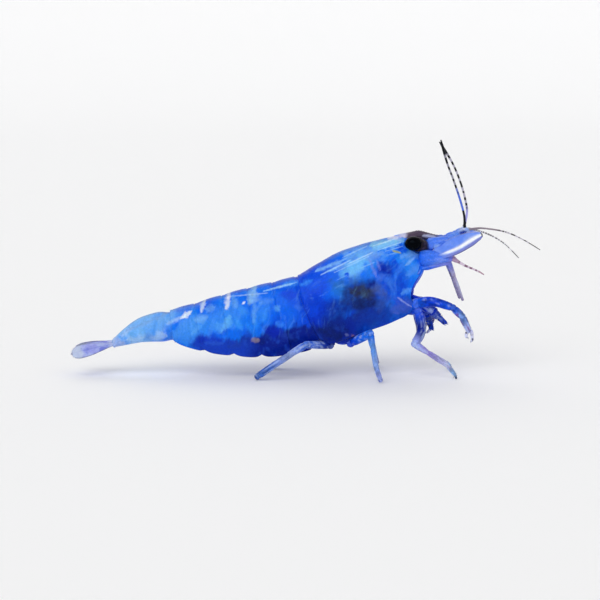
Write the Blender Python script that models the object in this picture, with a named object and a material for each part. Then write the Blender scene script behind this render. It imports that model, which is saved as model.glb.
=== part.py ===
"""A dwarf freshwater shrimp of the blue form, adult female, life size, standing on its legs.

The head points along +X, the back is up (+Z) and the animal's right side is at -Y. The middle
plane is y = 0 and the feet stand at z = 0. All sizes below are millimetres; MM turns them into
metres when a mesh is written. Each named part of the animal is one closed solid, with a small
gap to its neighbours.
"""
import math

import bmesh
import bpy
from mathutils import Matrix, Vector

MM = 0.001

# Driving sizes, in millimetres
BODY_LENGTH = 32.0          # tail-fan tip to antennal-scale tip, along the ground
DESIGN_LENGTH = 32.0        # body length at which the lists below are written
SCALE = BODY_LENGTH / DESIGN_LENGTH
GAP = 0.15                  # clear space between neighbouring pieces
FEELER = 0.25               # smallest radius of a leg or feeler, so that none is under 0.5 thick
SHIFT_X = 0.095             # moves the whole animal so that its box has its middle at x = 0
SMOOTH_ANGLE = 40           # degrees; edges sharper than this stay crisp

# One row for each cross-section of the body, tail to head. Each section is a slanted plane:
# x and z of its highest point, x and z of its lowest point, half width.
ABDOMEN = [
    (-14.25, 2.64, -14.15, 2.10, 0.80),     # rear end of the sixth somite
    (-13.45, 3.40, -13.30, 2.25, 0.88),
    (-12.30, 4.22, -12.00, 2.48, 1.00),
    (-10.90, 4.67, -10.55, 2.52, 1.16),
    (-9.84, 4.85, -9.40, 2.46, 1.30),       # fifth and sixth somites meet
    (-7.95, 5.38, -7.30, 1.92, 1.56),       # fourth and fifth
    (-5.93, 5.99, -5.15, 1.66, 1.76),       # third and fourth
    (-4.04, 6.50, -3.10, 1.59, 1.90),       # second and third
    (-2.20, 6.95, -1.10, 1.80, 1.97),       # first and second
    (-0.56, 7.39, 0.75, 2.22, 2.02),        # the carapace begins
]
SOMITES = {6: (0, 4), 5: (4, 5), 4: (5, 6), 3: (6, 7), 2: (7, 8), 1: (8, 9)}

CARAPACE = [
    (-0.47, 7.47, 0.86, 2.66, 2.08),        # rear edge, over the first somite
    (0.85, 8.29, 2.10, 2.84, 2.16),
    (2.62, 9.26, 3.50, 3.16, 2.18),
    (4.39, 9.85, 4.85, 3.58, 2.08),
    (6.05, 10.28, 5.90, 3.96, 1.86),
    (7.40, 10.52, 6.45, 4.18, 1.56),
    (8.80, 10.02, 6.82, 4.36, 1.14),        # front edge, beside the mouth
]
CHANNEL = [0.46, 0.46, 0.46, 0.46, 0.44, 0.38, 0.28]    # roof of the hollow under each section

EYE = (7.97, 1.20, 9.94)
EYE_RADIUS = 0.60
EYESTALK_ROOT = (8.98, 0.60, 9.66)
RIGHT = -1
LEFT = 1
SIDES = {"right": RIGHT, "left": LEFT}

SHELL_BLUE = (0.02, 0.12, 0.78)
DEEP_BLUE = (0.01, 0.04, 0.42)
PALE_BLUE = (0.25, 0.50, 0.90)
LAVENDER = (0.48, 0.48, 0.82)
GREY_BROWN = (0.16, 0.13, 0.16)


def clear_scene():
    for thing in list(bpy.data.objects):
        bpy.data.objects.remove(thing, do_unlink=True)


def material(name, colour, roughness=0.35, metallic=0.0):
    """One Principled material for each finish, shared by the pieces that have it."""
    found = bpy.data.materials.get(name)
    if found:
        return found
    made = bpy.data.materials.new(name)
    made.use_nodes = True
    shader = made.node_tree.nodes["Principled BSDF"]
    shader.inputs["Base Color"].default_value = (*colour, 1.0)
    shader.inputs["Roughness"].default_value = roughness
    shader.inputs["Metallic"].default_value = metallic
    made.diffuse_color = (*colour, 1.0)
    return made


def to_metres(point):
    x, y, z = point
    return Vector(((x + SHIFT_X) * MM * SCALE, y * MM * SCALE, z * MM * SCALE))


def add_object(name, mesh, finish):
    made = bpy.data.objects.new(name, mesh)
    bpy.context.scene.collection.objects.link(made)
    mesh.materials.append(finish)
    mesh.shade_smooth()
    mesh.set_sharp_from_angle(angle=math.radians(SMOOTH_ANGLE))
    return made


def loft(name, rings, finish):
    """A closed solid through rings of points, one ring after another, with both ends filled."""
    bm = bmesh.new()
    rows = [[bm.verts.new(to_metres(point)) for point in ring] for ring in rings]
    count = len(rows[0])
    for here, there in zip(rows, rows[1:]):
        for i in range(count):
            j = (i + 1) % count
            bm.faces.new((here[i], here[j], there[j], there[i]))
    bm.faces.new(list(reversed(rows[0])))
    bm.faces.new(rows[-1])
    bmesh.ops.recalc_face_normals(bm, faces=bm.faces)
    if bm.calc_volume(signed=True) < 0:
        bmesh.ops.reverse_faces(bm, faces=bm.faces)
    mesh = bpy.data.meshes.new(name)
    bm.to_mesh(mesh)
    bm.free()
    return add_object(name, mesh, finish)


def flatten_below_floor(piece):
    """Cuts a foot level with the floor, which leaves a small flat for it to stand on."""
    bm = bmesh.new()
    bm.from_mesh(piece.data)
    everything = bm.verts[:] + bm.edges[:] + bm.faces[:]
    cut = bmesh.ops.bisect_plane(
        bm, geom=everything, dist=1e-9, plane_co=(0, 0, 0), plane_no=(0, 0, -1), clear_outer=True
    )
    rim = [part for part in cut["geom_cut"] if isinstance(part, bmesh.types.BMEdge)]
    bmesh.ops.holes_fill(bm, edges=rim, sides=0)
    bm.to_mesh(piece.data)
    bm.free()


def boolean(piece, tool, operation):
    """Applies a cut or a join at once and removes the tool."""
    step = piece.modifiers.new(operation.lower(), "BOOLEAN")
    step.operation = operation
    step.solver = "EXACT"
    step.object = tool
    tool.hide_render = True
    tool.display_type = "WIRE"
    bpy.context.view_layer.update()
    graph = bpy.context.evaluated_depsgraph_get()
    finished = bpy.data.meshes.new_from_object(piece.evaluated_get(graph))
    piece.modifiers.remove(step)
    piece.data = finished
    bpy.data.objects.remove(tool, do_unlink=True)


def between(a, b, t):
    return tuple(p + (q - p) * t for p, q in zip(a, b))


def smooth_row(rows, u):
    """The row at place u of a list of rows, on a Catmull-Rom curve through them."""
    last = len(rows) - 1
    i = min(int(u), last - 1)
    t = u - i
    before, here, there, after = (rows[max(0, min(last, k))] for k in (i - 1, i, i + 1, i + 2))
    return tuple(
        0.5 * (2 * b + (c - a) * t + (2 * a - 5 * b + 4 * c - d) * t**2 + (3 * b - a - 3 * c + d) * t**3)
        for a, b, c, d in zip(before, here, there, after)
    )


def section_point(row, across, up):
    """A point of a slanted body section: across is y in mm, up runs 0 at the belly to 1 at the back."""
    top_x, top_z, low_x, low_z, _ = row
    return (low_x + (top_x - low_x) * up, across, low_z + (top_z - low_z) * up)


# ---------------------------------------------------------------- shell plates of the body

WIDEST = 0.42           # height of the widest line of a section, as a share of its height
LIP = 0.80              # half width of the lower edge, as a share of the greatest half width
WALL = 0.50             # thickness of the side plates of the abdomen
THIN_WALL = 0.32        # thickness of the lower edges of the carapace
BELLY = 0.36            # roof of the hollow under the abdomen, as a share of the section's height
FLARE = 0.09            # how far the rear edge of an abdominal plate stands proud of the next one
BACK_POINTS = 6         # steps of the profile from the middle of the back to the widest line
SIDE_POINTS = 3         # steps from the widest line to the lower edge


def arched_ring(row, roof, wall, flare=0.0):
    """An arched plate: round back, full sides drawn in to two lower edges, hollow in between."""
    half = row[4] + flare
    outer = []
    for k in range(BACK_POINTS + 1):
        angle = math.radians(90 * k / BACK_POINTS)
        outer.append((half * math.sin(angle), WIDEST + (1 - WIDEST) * math.cos(angle)))
    for k in range(1, SIDE_POINTS + 1):
        share = k / SIDE_POINTS
        outer.append((half * (1 - (1 - LIP) * share**2), WIDEST * (1 - share)))
    inner_edge = half * LIP - wall
    inner = [(inner_edge, 0.012), (inner_edge * 0.96, roof * 0.62), (inner_edge * 0.62, roof)]
    profile = outer + inner
    right = [section_point(row, RIGHT * across, up) for across, up in profile]
    left = [section_point(row, LEFT * across, up) for across, up in profile[:0:-1]]
    return right + left


def oval_ring(row, count=20):
    """A closed, egg-shaped section for the narrow sixth somite."""
    half = row[4]
    ring = []
    for k in range(count):
        angle = 2 * math.pi * k / count
        up = 0.5 + 0.5 * math.cos(angle)
        ring.append(section_point(row, -half * math.sin(angle) * (1 - 0.12 * math.cos(angle)), up))
    return ring


def trimmed(rows, first, last, gap=GAP):
    """Places from section first to section last of rows, both drawn in by half the gap."""
    def spacing(i):
        a, b = rows[i], rows[i + 1]
        return 0.5 * (math.hypot(b[0] - a[0], b[1] - a[1]) + math.hypot(b[2] - a[2], b[3] - a[3]))

    return first + 0.5 * gap / spacing(first), last - 0.5 * gap / spacing(last - 1)


def build_abdomen():
    finish = material("shell_blue", SHELL_BLUE, 0.3)
    for number, (first, last) in SOMITES.items():
        start, end = trimmed(ABDOMEN, first, last)
        steps = 9 if number == 6 else 4
        rings = []
        for k in range(steps + 1):
            share = k / steps
            row = smooth_row(ABDOMEN, start + (end - start) * share)
            if number == 6:
                rings.append(oval_ring(row))
            else:
                rings.append(arched_ring(row, BELLY, WALL, FLARE * (1 - share)**2))
        loft(f"abdomen_{number}", rings, finish)


def build_carapace():
    finish = material("shell_blue", SHELL_BLUE, 0.3)
    steps = 3
    last = len(CARAPACE) - 1
    rings = []
    for k in range(last * steps + 1):
        place = k / steps
        row = smooth_row(CARAPACE, place)
        roof = smooth_row([(share,) for share in CHANNEL], place)[0]
        rings.append(arched_ring(row, roof, THIN_WALL))
    carapace = loft("carapace", rings, finish)
    for side in SIDES.values():
        cut_orbit(carapace, side, finish)
    seat = box("rostrum_cutter", (7.50, -2.0, 10.24), (11.0, 2.0, 12.0), finish)
    boolean(carapace, seat, "DIFFERENCE")


def cut_orbit(carapace, side, finish):
    """The notch in the front edge that an eye and its stalk stand in."""
    eye = (EYE[0], side * EYE[1], EYE[2])
    root = (EYESTALK_ROOT[0] + 0.2, side * EYESTALK_ROOT[1], EYESTALK_ROOT[2])
    route = [between(root, eye, -0.5), root, eye, between(root, eye, 1.5)]
    widths = [0.50, 0.50, EYE_RADIUS + 1.6 * GAP, 0.45]
    boolean(carapace, limb("orbit_cutter", route, widths, finish, sides=14), "DIFFERENCE")


def box(name, low, high, finish):
    rings = [[(x, low[1], low[2]), (x, high[1], low[2]), (x, high[1], high[2]), (x, low[1], high[2])]
             for x in (low[0], high[0])]
    return loft(name, rings, finish)


def build_rostrum():
    """The beak between the eyes: x, top z, lowest z, half width of each section."""
    stations = [
        (7.65, 10.60, 10.36, 0.50),
        (8.00, 10.70, 10.36, 0.40),
        (8.45, 10.77, 10.34, 0.30),
        (9.00, 10.64, 10.24, 0.24),
        (9.60, 10.47, 10.20, 0.20),
        (10.20, 10.40, 10.18, 0.18),
        (10.62, 10.36, 10.22, 0.12),
    ]
    rings = []
    for x, top, low, half in stations:
        middle, rise = (top + low) / 2, (top - low) / 2
        rings.append([
            (x, -half * math.sin(math.pi * k / 5), middle + rise * math.cos(math.pi * k / 5))
            for k in range(10)
        ])
    loft("rostrum", rings, material("rostrum_brown", GREY_BROWN, 0.35))


def build_thorax():
    """The breastplate between the side walls of the carapace, from which the legs grow."""
    rings = []
    for place in (0.25, 1.0, 2.0, 3.0, 4.0, 5.0, 5.95):
        row = smooth_row(CARAPACE, place)
        roof = smooth_row([(share,) for share in CHANNEL], place)[0]
        height = math.hypot(row[1] - row[3], row[0] - row[2])
        room = row[4] * LIP - THIN_WALL - 1.4 * GAP
        top = roof - 1.6 * GAP / height
        low = 0.20 - 0.02 * place
        profile = [
            (0.30, top), (0.56, top - 0.02), (0.86, top * 0.62),
            (0.94, low + 0.05), (0.72, low), (0.20, low - 0.02),
        ]
        right = [section_point(row, RIGHT * room * a, up) for a, up in profile]
        left = [section_point(row, LEFT * room * a, up) for a, up in reversed(profile)]
        rings.append(right + left)
    loft("thorax", rings, material("deep_blue", DEEP_BLUE, 0.45))


def build_head():
    """The front of the head under the beak, and the mouthparts below it."""
    finish = material("deep_blue", DEEP_BLUE, 0.45)
    limb("head", [(8.78, 0, 9.06), (9.2, 0, 9.06), (9.8, 0, 8.92), (10.15, 0, 8.85)],
         [0.36, 0.42, 0.38, 0.22], finish, sides=10)
    rings = []
    for share in (0.0, 0.12, 0.35, 0.65, 0.88, 1.0):
        back = between((7.46, 0, 6.20), (8.16, 0, 8.15), share)
        swell = math.sqrt(max(0.0, 1 - (2 * share - 1)**2 * 0.82))
        half = 0.46 * swell
        depth = 0.50 * swell + 0.10
        rings.append([
            (back[0] + GAP + depth * 0.5 * (1 + math.cos(math.pi * k / 6)),
             half * math.sin(math.pi * k / 6),
             back[2] - 0.25 * depth * (1 + math.cos(math.pi * k / 6)) * 0.5)
            for k in range(12)
        ])
    loft("mouthparts", rings, finish)


# ---------------------------------------------------------------- round and flat limbs

def limb(name, joints, radii, finish, sides=8, flat=1.0):
    """A jointed tube. Each joint has its radius, and the rings at a bend halve its angle."""
    joints = [Vector(p) for p in joints]
    rings = []
    side_way = None
    for i, joint in enumerate(joints):
        ahead = (joints[i + 1] - joint).normalized() if i + 1 < len(joints) else None
        behind = (joint - joints[i - 1]).normalized() if i else None
        way = (ahead or behind) + (behind or ahead)
        way.normalize()
        if side_way is None:
            side_way = way.orthogonal() if abs(way.y) > 0.9 else Vector((0, 1, 0))
        side_way = (side_way - way * side_way.dot(way)).normalized()
        other = way.cross(side_way)
        rings.append([
            joint + side_way * (radii[i] * flat * math.cos(2 * math.pi * k / sides))
            + other * (radii[i] * math.sin(2 * math.pi * k / sides))
            for k in range(sides)
        ])
    return loft(name, rings, finish)


def segmented(joints, radii, pinch=0.86):
    """Adds a full middle to each segment between two pinched joints: gives joints and radii for limb."""
    points, sizes = [], []
    for i, (start, end) in enumerate(zip(joints, joints[1:])):
        full = radii[i]
        reach = (Vector(end) - Vector(start)).length
        near_end = min(0.35, max(0.16, full * 1.1 / reach))
        points += [start, between(start, end, near_end), between(start, end, 1 - near_end)]
        sizes += [max(FEELER, full * pinch), full, full]
    points.append(joints[-1])
    sizes.append(radii[len(joints) - 1])
    return points, sizes


def blade(name, root, tip, half_widths, thickness, roll, finish, arch=0.0, sides=10):
    """A leaf-shaped plate from root to tip. roll turns its outer edge down, arch bends it up."""
    root, tip = Vector(root), Vector(tip)
    along = (tip - root).normalized()
    level = Vector((0, 0, 1)).cross(along).normalized()
    across = Matrix.Rotation(math.radians(roll), 3, along) @ level
    normal = along.cross(across)
    rings = []
    last = len(half_widths) - 1
    for i, half in enumerate(half_widths):
        share = i / last
        middle = root.lerp(tip, share) + normal * (arch * math.sin(math.pi * share))
        thin = thickness * (0.5 if 0 < i < last else 0.34)
        rings.append([
            middle + across * (half * math.cos(2 * math.pi * k / sides))
            + normal * (thin * math.sin(2 * math.pi * k / sides))
            for k in range(sides)
        ])
    return loft(name, rings, finish)


def sided(points, side):
    """The same points on one side of the body: y is written as a distance from the middle plane."""
    return [(x, side * y, z) for x, y, z in points]


def build_eyes():
    black = material("eye_black", (0.01, 0.01, 0.012), 0.08)
    stalk = material("eyestalk_brown", GREY_BROWN, 0.4)
    for word, side in SIDES.items():
        centre = Vector((EYE[0], side * EYE[1], EYE[2]))
        root = Vector((EYESTALK_ROOT[0], side * EYESTALK_ROOT[1], EYESTALK_ROOT[2]))
        bm = bmesh.new()
        bmesh.ops.create_uvsphere(bm, u_segments=14, v_segments=9, radius=EYE_RADIUS * MM * SCALE)
        bmesh.ops.scale(bm, vec=(1.04, 1.0, 0.94), verts=bm.verts)
        bmesh.ops.translate(bm, vec=to_metres(centre), verts=bm.verts)
        mesh = bpy.data.meshes.new(f"eye_{word}")
        bm.to_mesh(mesh)
        bm.free()
        add_object(f"eye_{word}", mesh, black)
        way = (root - centre).normalized()
        neck = centre + way * (EYE_RADIUS + 0.18)
        limb(f"eyestalk_{word}", [neck, between(neck, root, 0.5), root], [0.36, 0.34, 0.27], stalk)


def build_whip(name, route, finish):
    """A thin feeler on a smooth curve through its route."""
    steps = 2 * (len(route) - 1)
    points = [smooth_row(route, k / 2) for k in range(steps + 1)]
    limb(name, points, [FEELER] * len(points), finish, sides=6)


def build_antennules():
    """The first feelers: a stout three-part stem, and two whips on each, one up and one forward."""
    stem = material("feeler_base_blue", PALE_BLUE, 0.35)
    whip = material("whip_grey", (0.05, 0.05, 0.07), 0.5)
    routes = {
        "right": ([(9.35, 0.50, 9.68), (10.48, 0.50, 10.02), (11.21, 0.50, 10.38), (11.82, 0.50, 10.76)],
                  [(11.76, 0.50, 11.22), (11.70, 0.54, 11.97), (11.39, 0.66, 13.08), (10.86, 0.86, 14.57),
                   (10.33, 1.06, 15.92), (9.87, 1.28, 17.50)],
                  [(12.26, 0.50, 10.93), (13.07, 0.80, 11.02), (14.64, 1.20, 10.80), (15.95, 1.60, 10.25),
                   (17.12, 2.00, 9.56)]),
        "left": ([(9.35, 0.50, 9.68), (10.48, 0.50, 10.02), (11.21, 0.50, 10.38), (11.82, 0.50, 10.76)],
                 [(11.86, 0.50, 11.22), (12.02, 0.54, 12.09), (11.90, 0.64, 12.97), (11.54, 0.84, 14.27),
                  (10.93, 1.04, 15.71), (9.98, 1.28, 17.24)],
                 [(12.26, 0.50, 10.86), (13.18, 0.80, 10.60), (14.08, 1.00, 10.21), (15.04, 1.30, 9.56),
                  (16.05, 1.60, 8.56)]),
    }
    for word, side in SIDES.items():
        stem_route, up_route, front_route = routes[word]
        points, sizes = segmented(sided(stem_route, side), [0.39, 0.34, 0.30, 0.27])
        limb(f"antennule_{word}", points, sizes, stem, sides=10)
        for kind, route in (("up", up_route), ("front", front_route)):
            build_whip(f"antennule_whip_{kind}_{word}", sided(route, side), whip)


def build_antennae():
    """The second feelers: base, leaf-shaped scale and whip."""
    base = material("feeler_base_blue", PALE_BLUE, 0.35)
    leaf = material("scale_lavender", LAVENDER, 0.3)
    whip = material("whip_pink", (0.42, 0.28, 0.38), 0.5)
    whips = {
        "right": [(10.62, 1.10, 8.72), (11.61, 1.20, 8.36), (12.69, 1.40, 7.92), (13.12, 1.50, 7.68)],
        "left": [(10.80, 1.10, 8.52), (11.84, 1.20, 8.11), (12.99, 1.40, 7.60), (13.46, 1.50, 7.30)],
    }
    for word, side in SIDES.items():
        points, sizes = segmented(sided([(8.95, 1.02, 8.96), (10.38, 1.10, 8.92)], side), [0.38, 0.34])
        limb(f"antenna_base_{word}", points, sizes, base, sides=10)
        blade(f"antennal_scale_{word}", (10.42, side * 1.34, 9.50), (12.86, side * 1.34, 10.50),
              [0.20, 0.42, 0.52, 0.54, 0.44, 0.16], 0.5, -side * 55, leaf)
        build_whip(f"antenna_whip_{word}", sided(whips[word], side), whip)


def build_maxillipeds():
    """The longest mouth legs: up along the throat, forward under the head, then hanging."""
    finish = material("mouth_leg_lilac", (0.36, 0.30, 0.48), 0.45)
    routes = {
        "right": [(7.95, 0.90, 6.20), (8.30, 0.92, 7.05), (8.92, 1.00, 7.92), (10.38, 1.00, 8.22),
                  (11.55, 1.00, 5.80)],
        "left": [(8.00, 0.90, 6.15), (8.36, 0.92, 6.90), (9.02, 1.00, 7.72), (10.52, 1.00, 8.04),
                 (11.60, 1.00, 5.72)],
    }
    for word, side in SIDES.items():
        points, sizes = segmented(sided(routes[word], side), [0.28, 0.28, 0.28, 0.26, FEELER])
        limb(f"maxilliped_{word}", points, sizes, finish)


# ---------------------------------------------------------------- legs

# Joints of each leg, root to tip: x, distance from the middle plane, z; and a radius for each.
LEGS = {
    ("1", "right"): ([(7.78, 0.43, 5.72), (8.60, 0.62, 5.52), (9.35, 0.84, 5.00), (9.70, 0.95, 4.60),
                      (9.98, 1.00, 4.28)], [0.27, 0.28, 0.28, 0.30, 0.27]),
    ("1", "left"): ([(7.78, 0.43, 5.72), (8.50, 0.60, 5.34), (9.06, 0.80, 4.62), (9.26, 0.90, 4.16),
                     (9.40, 0.95, 3.76)], [0.27, 0.28, 0.28, 0.30, 0.27]),
    ("2", "right"): ([(7.55, 1.02, 5.28), (8.20, 1.28, 5.54), (9.40, 1.50, 5.68), (10.84, 1.80, 5.28),
                      (11.46, 1.88, 4.68), (12.00, 1.90, 3.64)], [0.28, 0.36, 0.30, 0.32, 0.32, 0.27]),
    ("2", "left"): ([(7.55, 1.02, 5.24), (8.20, 1.28, 5.42), (9.10, 1.50, 5.28), (9.58, 1.70, 4.72),
                     (9.70, 1.78, 4.20), (9.58, 1.80, 3.56)], [0.28, 0.36, 0.30, 0.32, 0.32, 0.27]),
    ("3", "right"): ([(7.34, 0.60, 4.72), (8.34, 0.92, 4.86), (8.62, 1.20, 3.60), (8.12, 1.30, 2.52),
                      (8.95, 1.48, 1.98), (10.46, 1.90, 1.02), (11.00, 2.12, 0.34), (11.16, 2.20, -0.10)],
                     [0.28, 0.30, 0.32, 0.30, 0.27, FEELER, FEELER, 0.20]),
    ("3", "left"): ([(7.34, 0.60, 4.70), (8.34, 0.92, 4.72), (8.76, 1.25, 3.00), (8.30, 1.30, 2.10),
                     (9.10, 1.45, 1.50), (10.60, 1.75, 0.62), (11.00, 1.95, 0.22), (11.20, 2.02, -0.10)],
                    [0.28, 0.30, 0.32, 0.30, 0.27, FEELER, FEELER, 0.20]),
    ("4", "right"): ([(3.60, 0.80, 3.95), (3.42, 1.14, 2.52), (4.78, 2.50, 3.47), (4.98, 2.70, 2.50),
                      (5.20, 3.20, 1.22), (5.50, 3.72, 0.30), (5.55, 3.86, -0.10)],
                     [0.30, 0.30, 0.32, 0.27, FEELER, FEELER, 0.22]),
    ("4", "left"): ([(3.60, 0.80, 3.95), (3.42, 1.14, 2.46), (4.88, 2.46, 3.00), (5.16, 2.66, 2.00),
                     (5.38, 3.20, 0.96), (5.57, 3.72, 0.24), (5.62, 3.86, -0.10)],
                    [0.30, 0.30, 0.32, 0.27, FEELER, FEELER, 0.22]),
    ("5", "right"): ([(2.30, 0.70, 3.50), (1.95, 1.35, 2.16), (0.10, 2.72, 2.70), (-1.06, 2.68, 1.97),
                      (-2.90, 2.54, 0.68), (-3.50, 2.48, 0.24), (-3.74, 2.46, -0.10)],
                     [0.30, 0.30, 0.32, 0.30, 0.31, 0.29, 0.24]),
    ("5", "left"): ([(2.30, 0.70, 3.50), (1.95, 1.35, 2.10), (0.40, 2.66, 2.12), (-0.72, 2.60, 1.28),
                     (-1.92, 2.42, 0.52), (-2.38, 2.34, 0.24), (-2.60, 2.30, -0.10)],
                    [0.30, 0.30, 0.32, 0.30, 0.31, 0.29, 0.24]),
}
CLAWED = ("1", "2")


def build_legs():
    """Five pairs. The first two end in a small claw, the rest stand on the floor."""
    finish = material("leg_blue", PALE_BLUE, 0.35)
    for (number, word), (joints, radii) in LEGS.items():
        side = SIDES[word]
        points, sizes = segmented(sided(joints, side), radii)
        leg = limb(f"leg_{number}_{word}", points, sizes, finish)
        if number in CLAWED:
            add_claw(leg, sided(joints, side), finish)
        else:
            flatten_below_floor(leg)


def add_claw(leg, joints, finish):
    """Two short fingers on the end of a leg, spread in the plane of its last segment."""
    wrist, before = Vector(joints[-1]), Vector(joints[-2])
    way = (wrist - before).normalized()
    spread = Vector((0, 1, 0)).cross(way).normalized()
    root = wrist - way * 0.18
    for turn, reach in ((1, 0.62), (-1, 0.80)):
        knuckle = wrist + way * 0.14 + spread * (turn * 0.24)
        point = wrist + way * reach + spread * (turn * 0.30)
        finger = limb("finger", [root, knuckle, point], [0.16, 0.20, 0.13], finish, sides=6)
        boolean(leg, finger, "UNION")


def build_swimmerets():
    """Five pairs of paddles folded back under the belly, between the side plates."""
    finish = material("deep_blue", DEEP_BLUE, 0.45)
    for number in (1, 2, 3, 4, 5):
        rear, front = SOMITES[number]
        root_row = smooth_row(ABDOMEN, rear + 0.80 * (front - rear))
        tip_row = smooth_row(ABDOMEN, rear + 0.14 * (front - rear))
        room = tip_row[4] * LIP - WALL
        half = room * 0.46 - GAP * 0.8
        for word, side in SIDES.items():
            root = section_point(root_row, side * room * 0.47, BELLY - 0.13)
            tip = section_point(tip_row, side * room * 0.47, BELLY - 0.22)
            blade(f"swimmeret_{number}_{word}", root, tip,
                  [half * 0.55, half * 0.92, half, half * 0.9, half * 0.45], 0.5, 0, finish, sides=8)


def build_tail_fan():
    """The telson in the middle, and two pairs of blades folded close beside and below it."""
    finish = material("tail_lavender", LAVENDER, 0.35)
    blade("telson", (-14.40, 0, 2.42), (-17.00, 0, 2.02),
          [0.22, 0.30, 0.36, 0.34, 0.20], 0.5, 0, finish)
    for word, side in SIDES.items():
        blade(f"uropod_inner_{word}", (-14.50, side * 0.58, 2.22), (-17.25, side * 0.98, 1.76),
              [0.14, 0.30, 0.36, 0.34, 0.16], 0.5, -side * 38, finish)
        blade(f"uropod_outer_{word}", (-14.46, side * 1.06, 2.03), (-17.40, side * 1.74, 1.34),
              [0.14, 0.34, 0.46, 0.44, 0.20], 0.5, -side * 52, finish)


def main():
    clear_scene()
    build_carapace()
    build_rostrum()
    build_head()
    build_thorax()
    build_abdomen()
    build_tail_fan()
    build_eyes()
    build_antennules()
    build_antennae()
    build_maxillipeds()
    build_legs()
    build_swimmerets()


main()
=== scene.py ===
"""The looks of a blue dwarf freshwater shrimp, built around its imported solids.

Shapes are worked out in millimetres in the frame of the solids: the head points along +X, the back
is up (+Z), the animal's right side is at -Y and the feet stand at z = 0. The shell plates, eyes,
limbs and feelers are pieces of their own, and one skin stands for the flesh under the plates.
Colours are painted on the points by named brush marks, and the shaders add the fine grain.
"""
import math

import bmesh
import bpy
import numpy as np
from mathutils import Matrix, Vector


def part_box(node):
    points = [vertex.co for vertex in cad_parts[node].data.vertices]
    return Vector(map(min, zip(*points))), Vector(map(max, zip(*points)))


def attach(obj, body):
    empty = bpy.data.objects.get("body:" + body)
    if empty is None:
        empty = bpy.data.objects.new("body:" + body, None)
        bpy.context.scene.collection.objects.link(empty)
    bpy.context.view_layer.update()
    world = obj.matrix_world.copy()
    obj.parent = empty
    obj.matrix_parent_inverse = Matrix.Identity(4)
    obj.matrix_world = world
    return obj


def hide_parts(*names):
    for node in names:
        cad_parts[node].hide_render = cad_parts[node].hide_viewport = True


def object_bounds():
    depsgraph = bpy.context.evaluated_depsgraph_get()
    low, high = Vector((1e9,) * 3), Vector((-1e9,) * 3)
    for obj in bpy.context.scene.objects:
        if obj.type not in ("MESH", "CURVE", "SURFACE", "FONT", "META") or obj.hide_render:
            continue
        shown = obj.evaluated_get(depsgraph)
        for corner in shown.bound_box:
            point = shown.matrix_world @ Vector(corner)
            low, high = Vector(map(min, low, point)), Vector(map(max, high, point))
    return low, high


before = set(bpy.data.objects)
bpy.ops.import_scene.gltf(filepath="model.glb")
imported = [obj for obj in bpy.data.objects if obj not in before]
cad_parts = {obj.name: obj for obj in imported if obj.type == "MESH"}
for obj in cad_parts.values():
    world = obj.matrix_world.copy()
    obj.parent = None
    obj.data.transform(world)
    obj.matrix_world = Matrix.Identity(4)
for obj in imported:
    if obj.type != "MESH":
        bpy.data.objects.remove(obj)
CAD_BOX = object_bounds()

MM = 0.001
SIDES = {"right": -1, "left": 1}

# ---------------------------------------------------------------- sections of the body

# Each section is a slanted plane: x and z of its highest point, x and z of its lowest, half width.
ABDOMEN = np.array([
    (-14.25, 2.64, -14.15, 2.10, 0.80),     # rear end of the sixth somite
    (-13.45, 3.40, -13.30, 2.25, 0.88),
    (-12.30, 4.22, -12.00, 2.48, 1.00),
    (-10.90, 4.67, -10.55, 2.52, 1.16),
    (-9.84, 4.85, -9.40, 2.46, 1.30),       # fifth and sixth somites meet
    (-7.95, 5.38, -7.30, 1.92, 1.56),       # fourth and fifth
    (-5.93, 5.99, -5.15, 1.66, 1.76),       # third and fourth
    (-4.04, 6.50, -3.10, 1.59, 1.90),       # second and third
    (-2.20, 6.95, -1.10, 1.80, 1.97),       # first and second
    (-0.56, 7.39, 0.75, 2.22, 2.02),        # the carapace begins
    (0.80, 8.10, 2.00, 2.50, 2.05),         # under the carapace
])
SOMITES = {6: (0, 4), 5: (4, 5), 4: (5, 6), 3: (6, 7), 2: (7, 8), 1: (8, 9)}
CARAPACE = np.array([
    (-0.47, 7.44, 0.86, 2.46, 2.08),        # rear edge, over the first somite
    (0.85, 8.26, 2.10, 2.60, 2.16),
    (2.62, 9.22, 3.50, 3.08, 2.18),
    (4.39, 9.81, 4.90, 3.58, 2.08),
    (6.05, 10.23, 6.20, 4.02, 1.86),
    (7.40, 10.42, 7.26, 4.54, 1.56),
    (8.80, 10.10, 8.30, 5.38, 1.14),        # front edge, beside the mouth
    (10.20, 9.70, 9.30, 6.10, 0.80),        # the same lines carried on, for the curve of the front edge
])
WIDEST = 0.42       # height of the widest line of a section, as a share of its height
LIP = 0.80          # half width of the lower edge, as a share of the greatest half width
BACK = 0.65         # share of a profile that lies above the widest line
RIM = 0.08          # how far in from its edge a plate begins to round off

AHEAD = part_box("carapace")[0].x / MM - CARAPACE[0][0]


# ---------------------------------------------------------------- numbers and noise

def unit(vectors):
    return vectors / np.maximum(np.linalg.norm(vectors, axis=-1, keepdims=True), 1e-12)


def sided(route, side):
    """A route on one side of the animal, from points whose y is their distance from its middle."""
    return np.array([(x, side * y, z) for x, y, z in route])


def turns(count):
    """Angles spaced evenly round a circle."""
    return np.linspace(0, 2 * math.pi, count, endpoint=False)


def ease(value, low, high):
    """0 below low, 1 above high, and a smooth step between."""
    t = np.clip((np.asarray(value, float) - low) / (high - low), 0, 1)
    return t * t * (3 - 2 * t)


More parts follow.
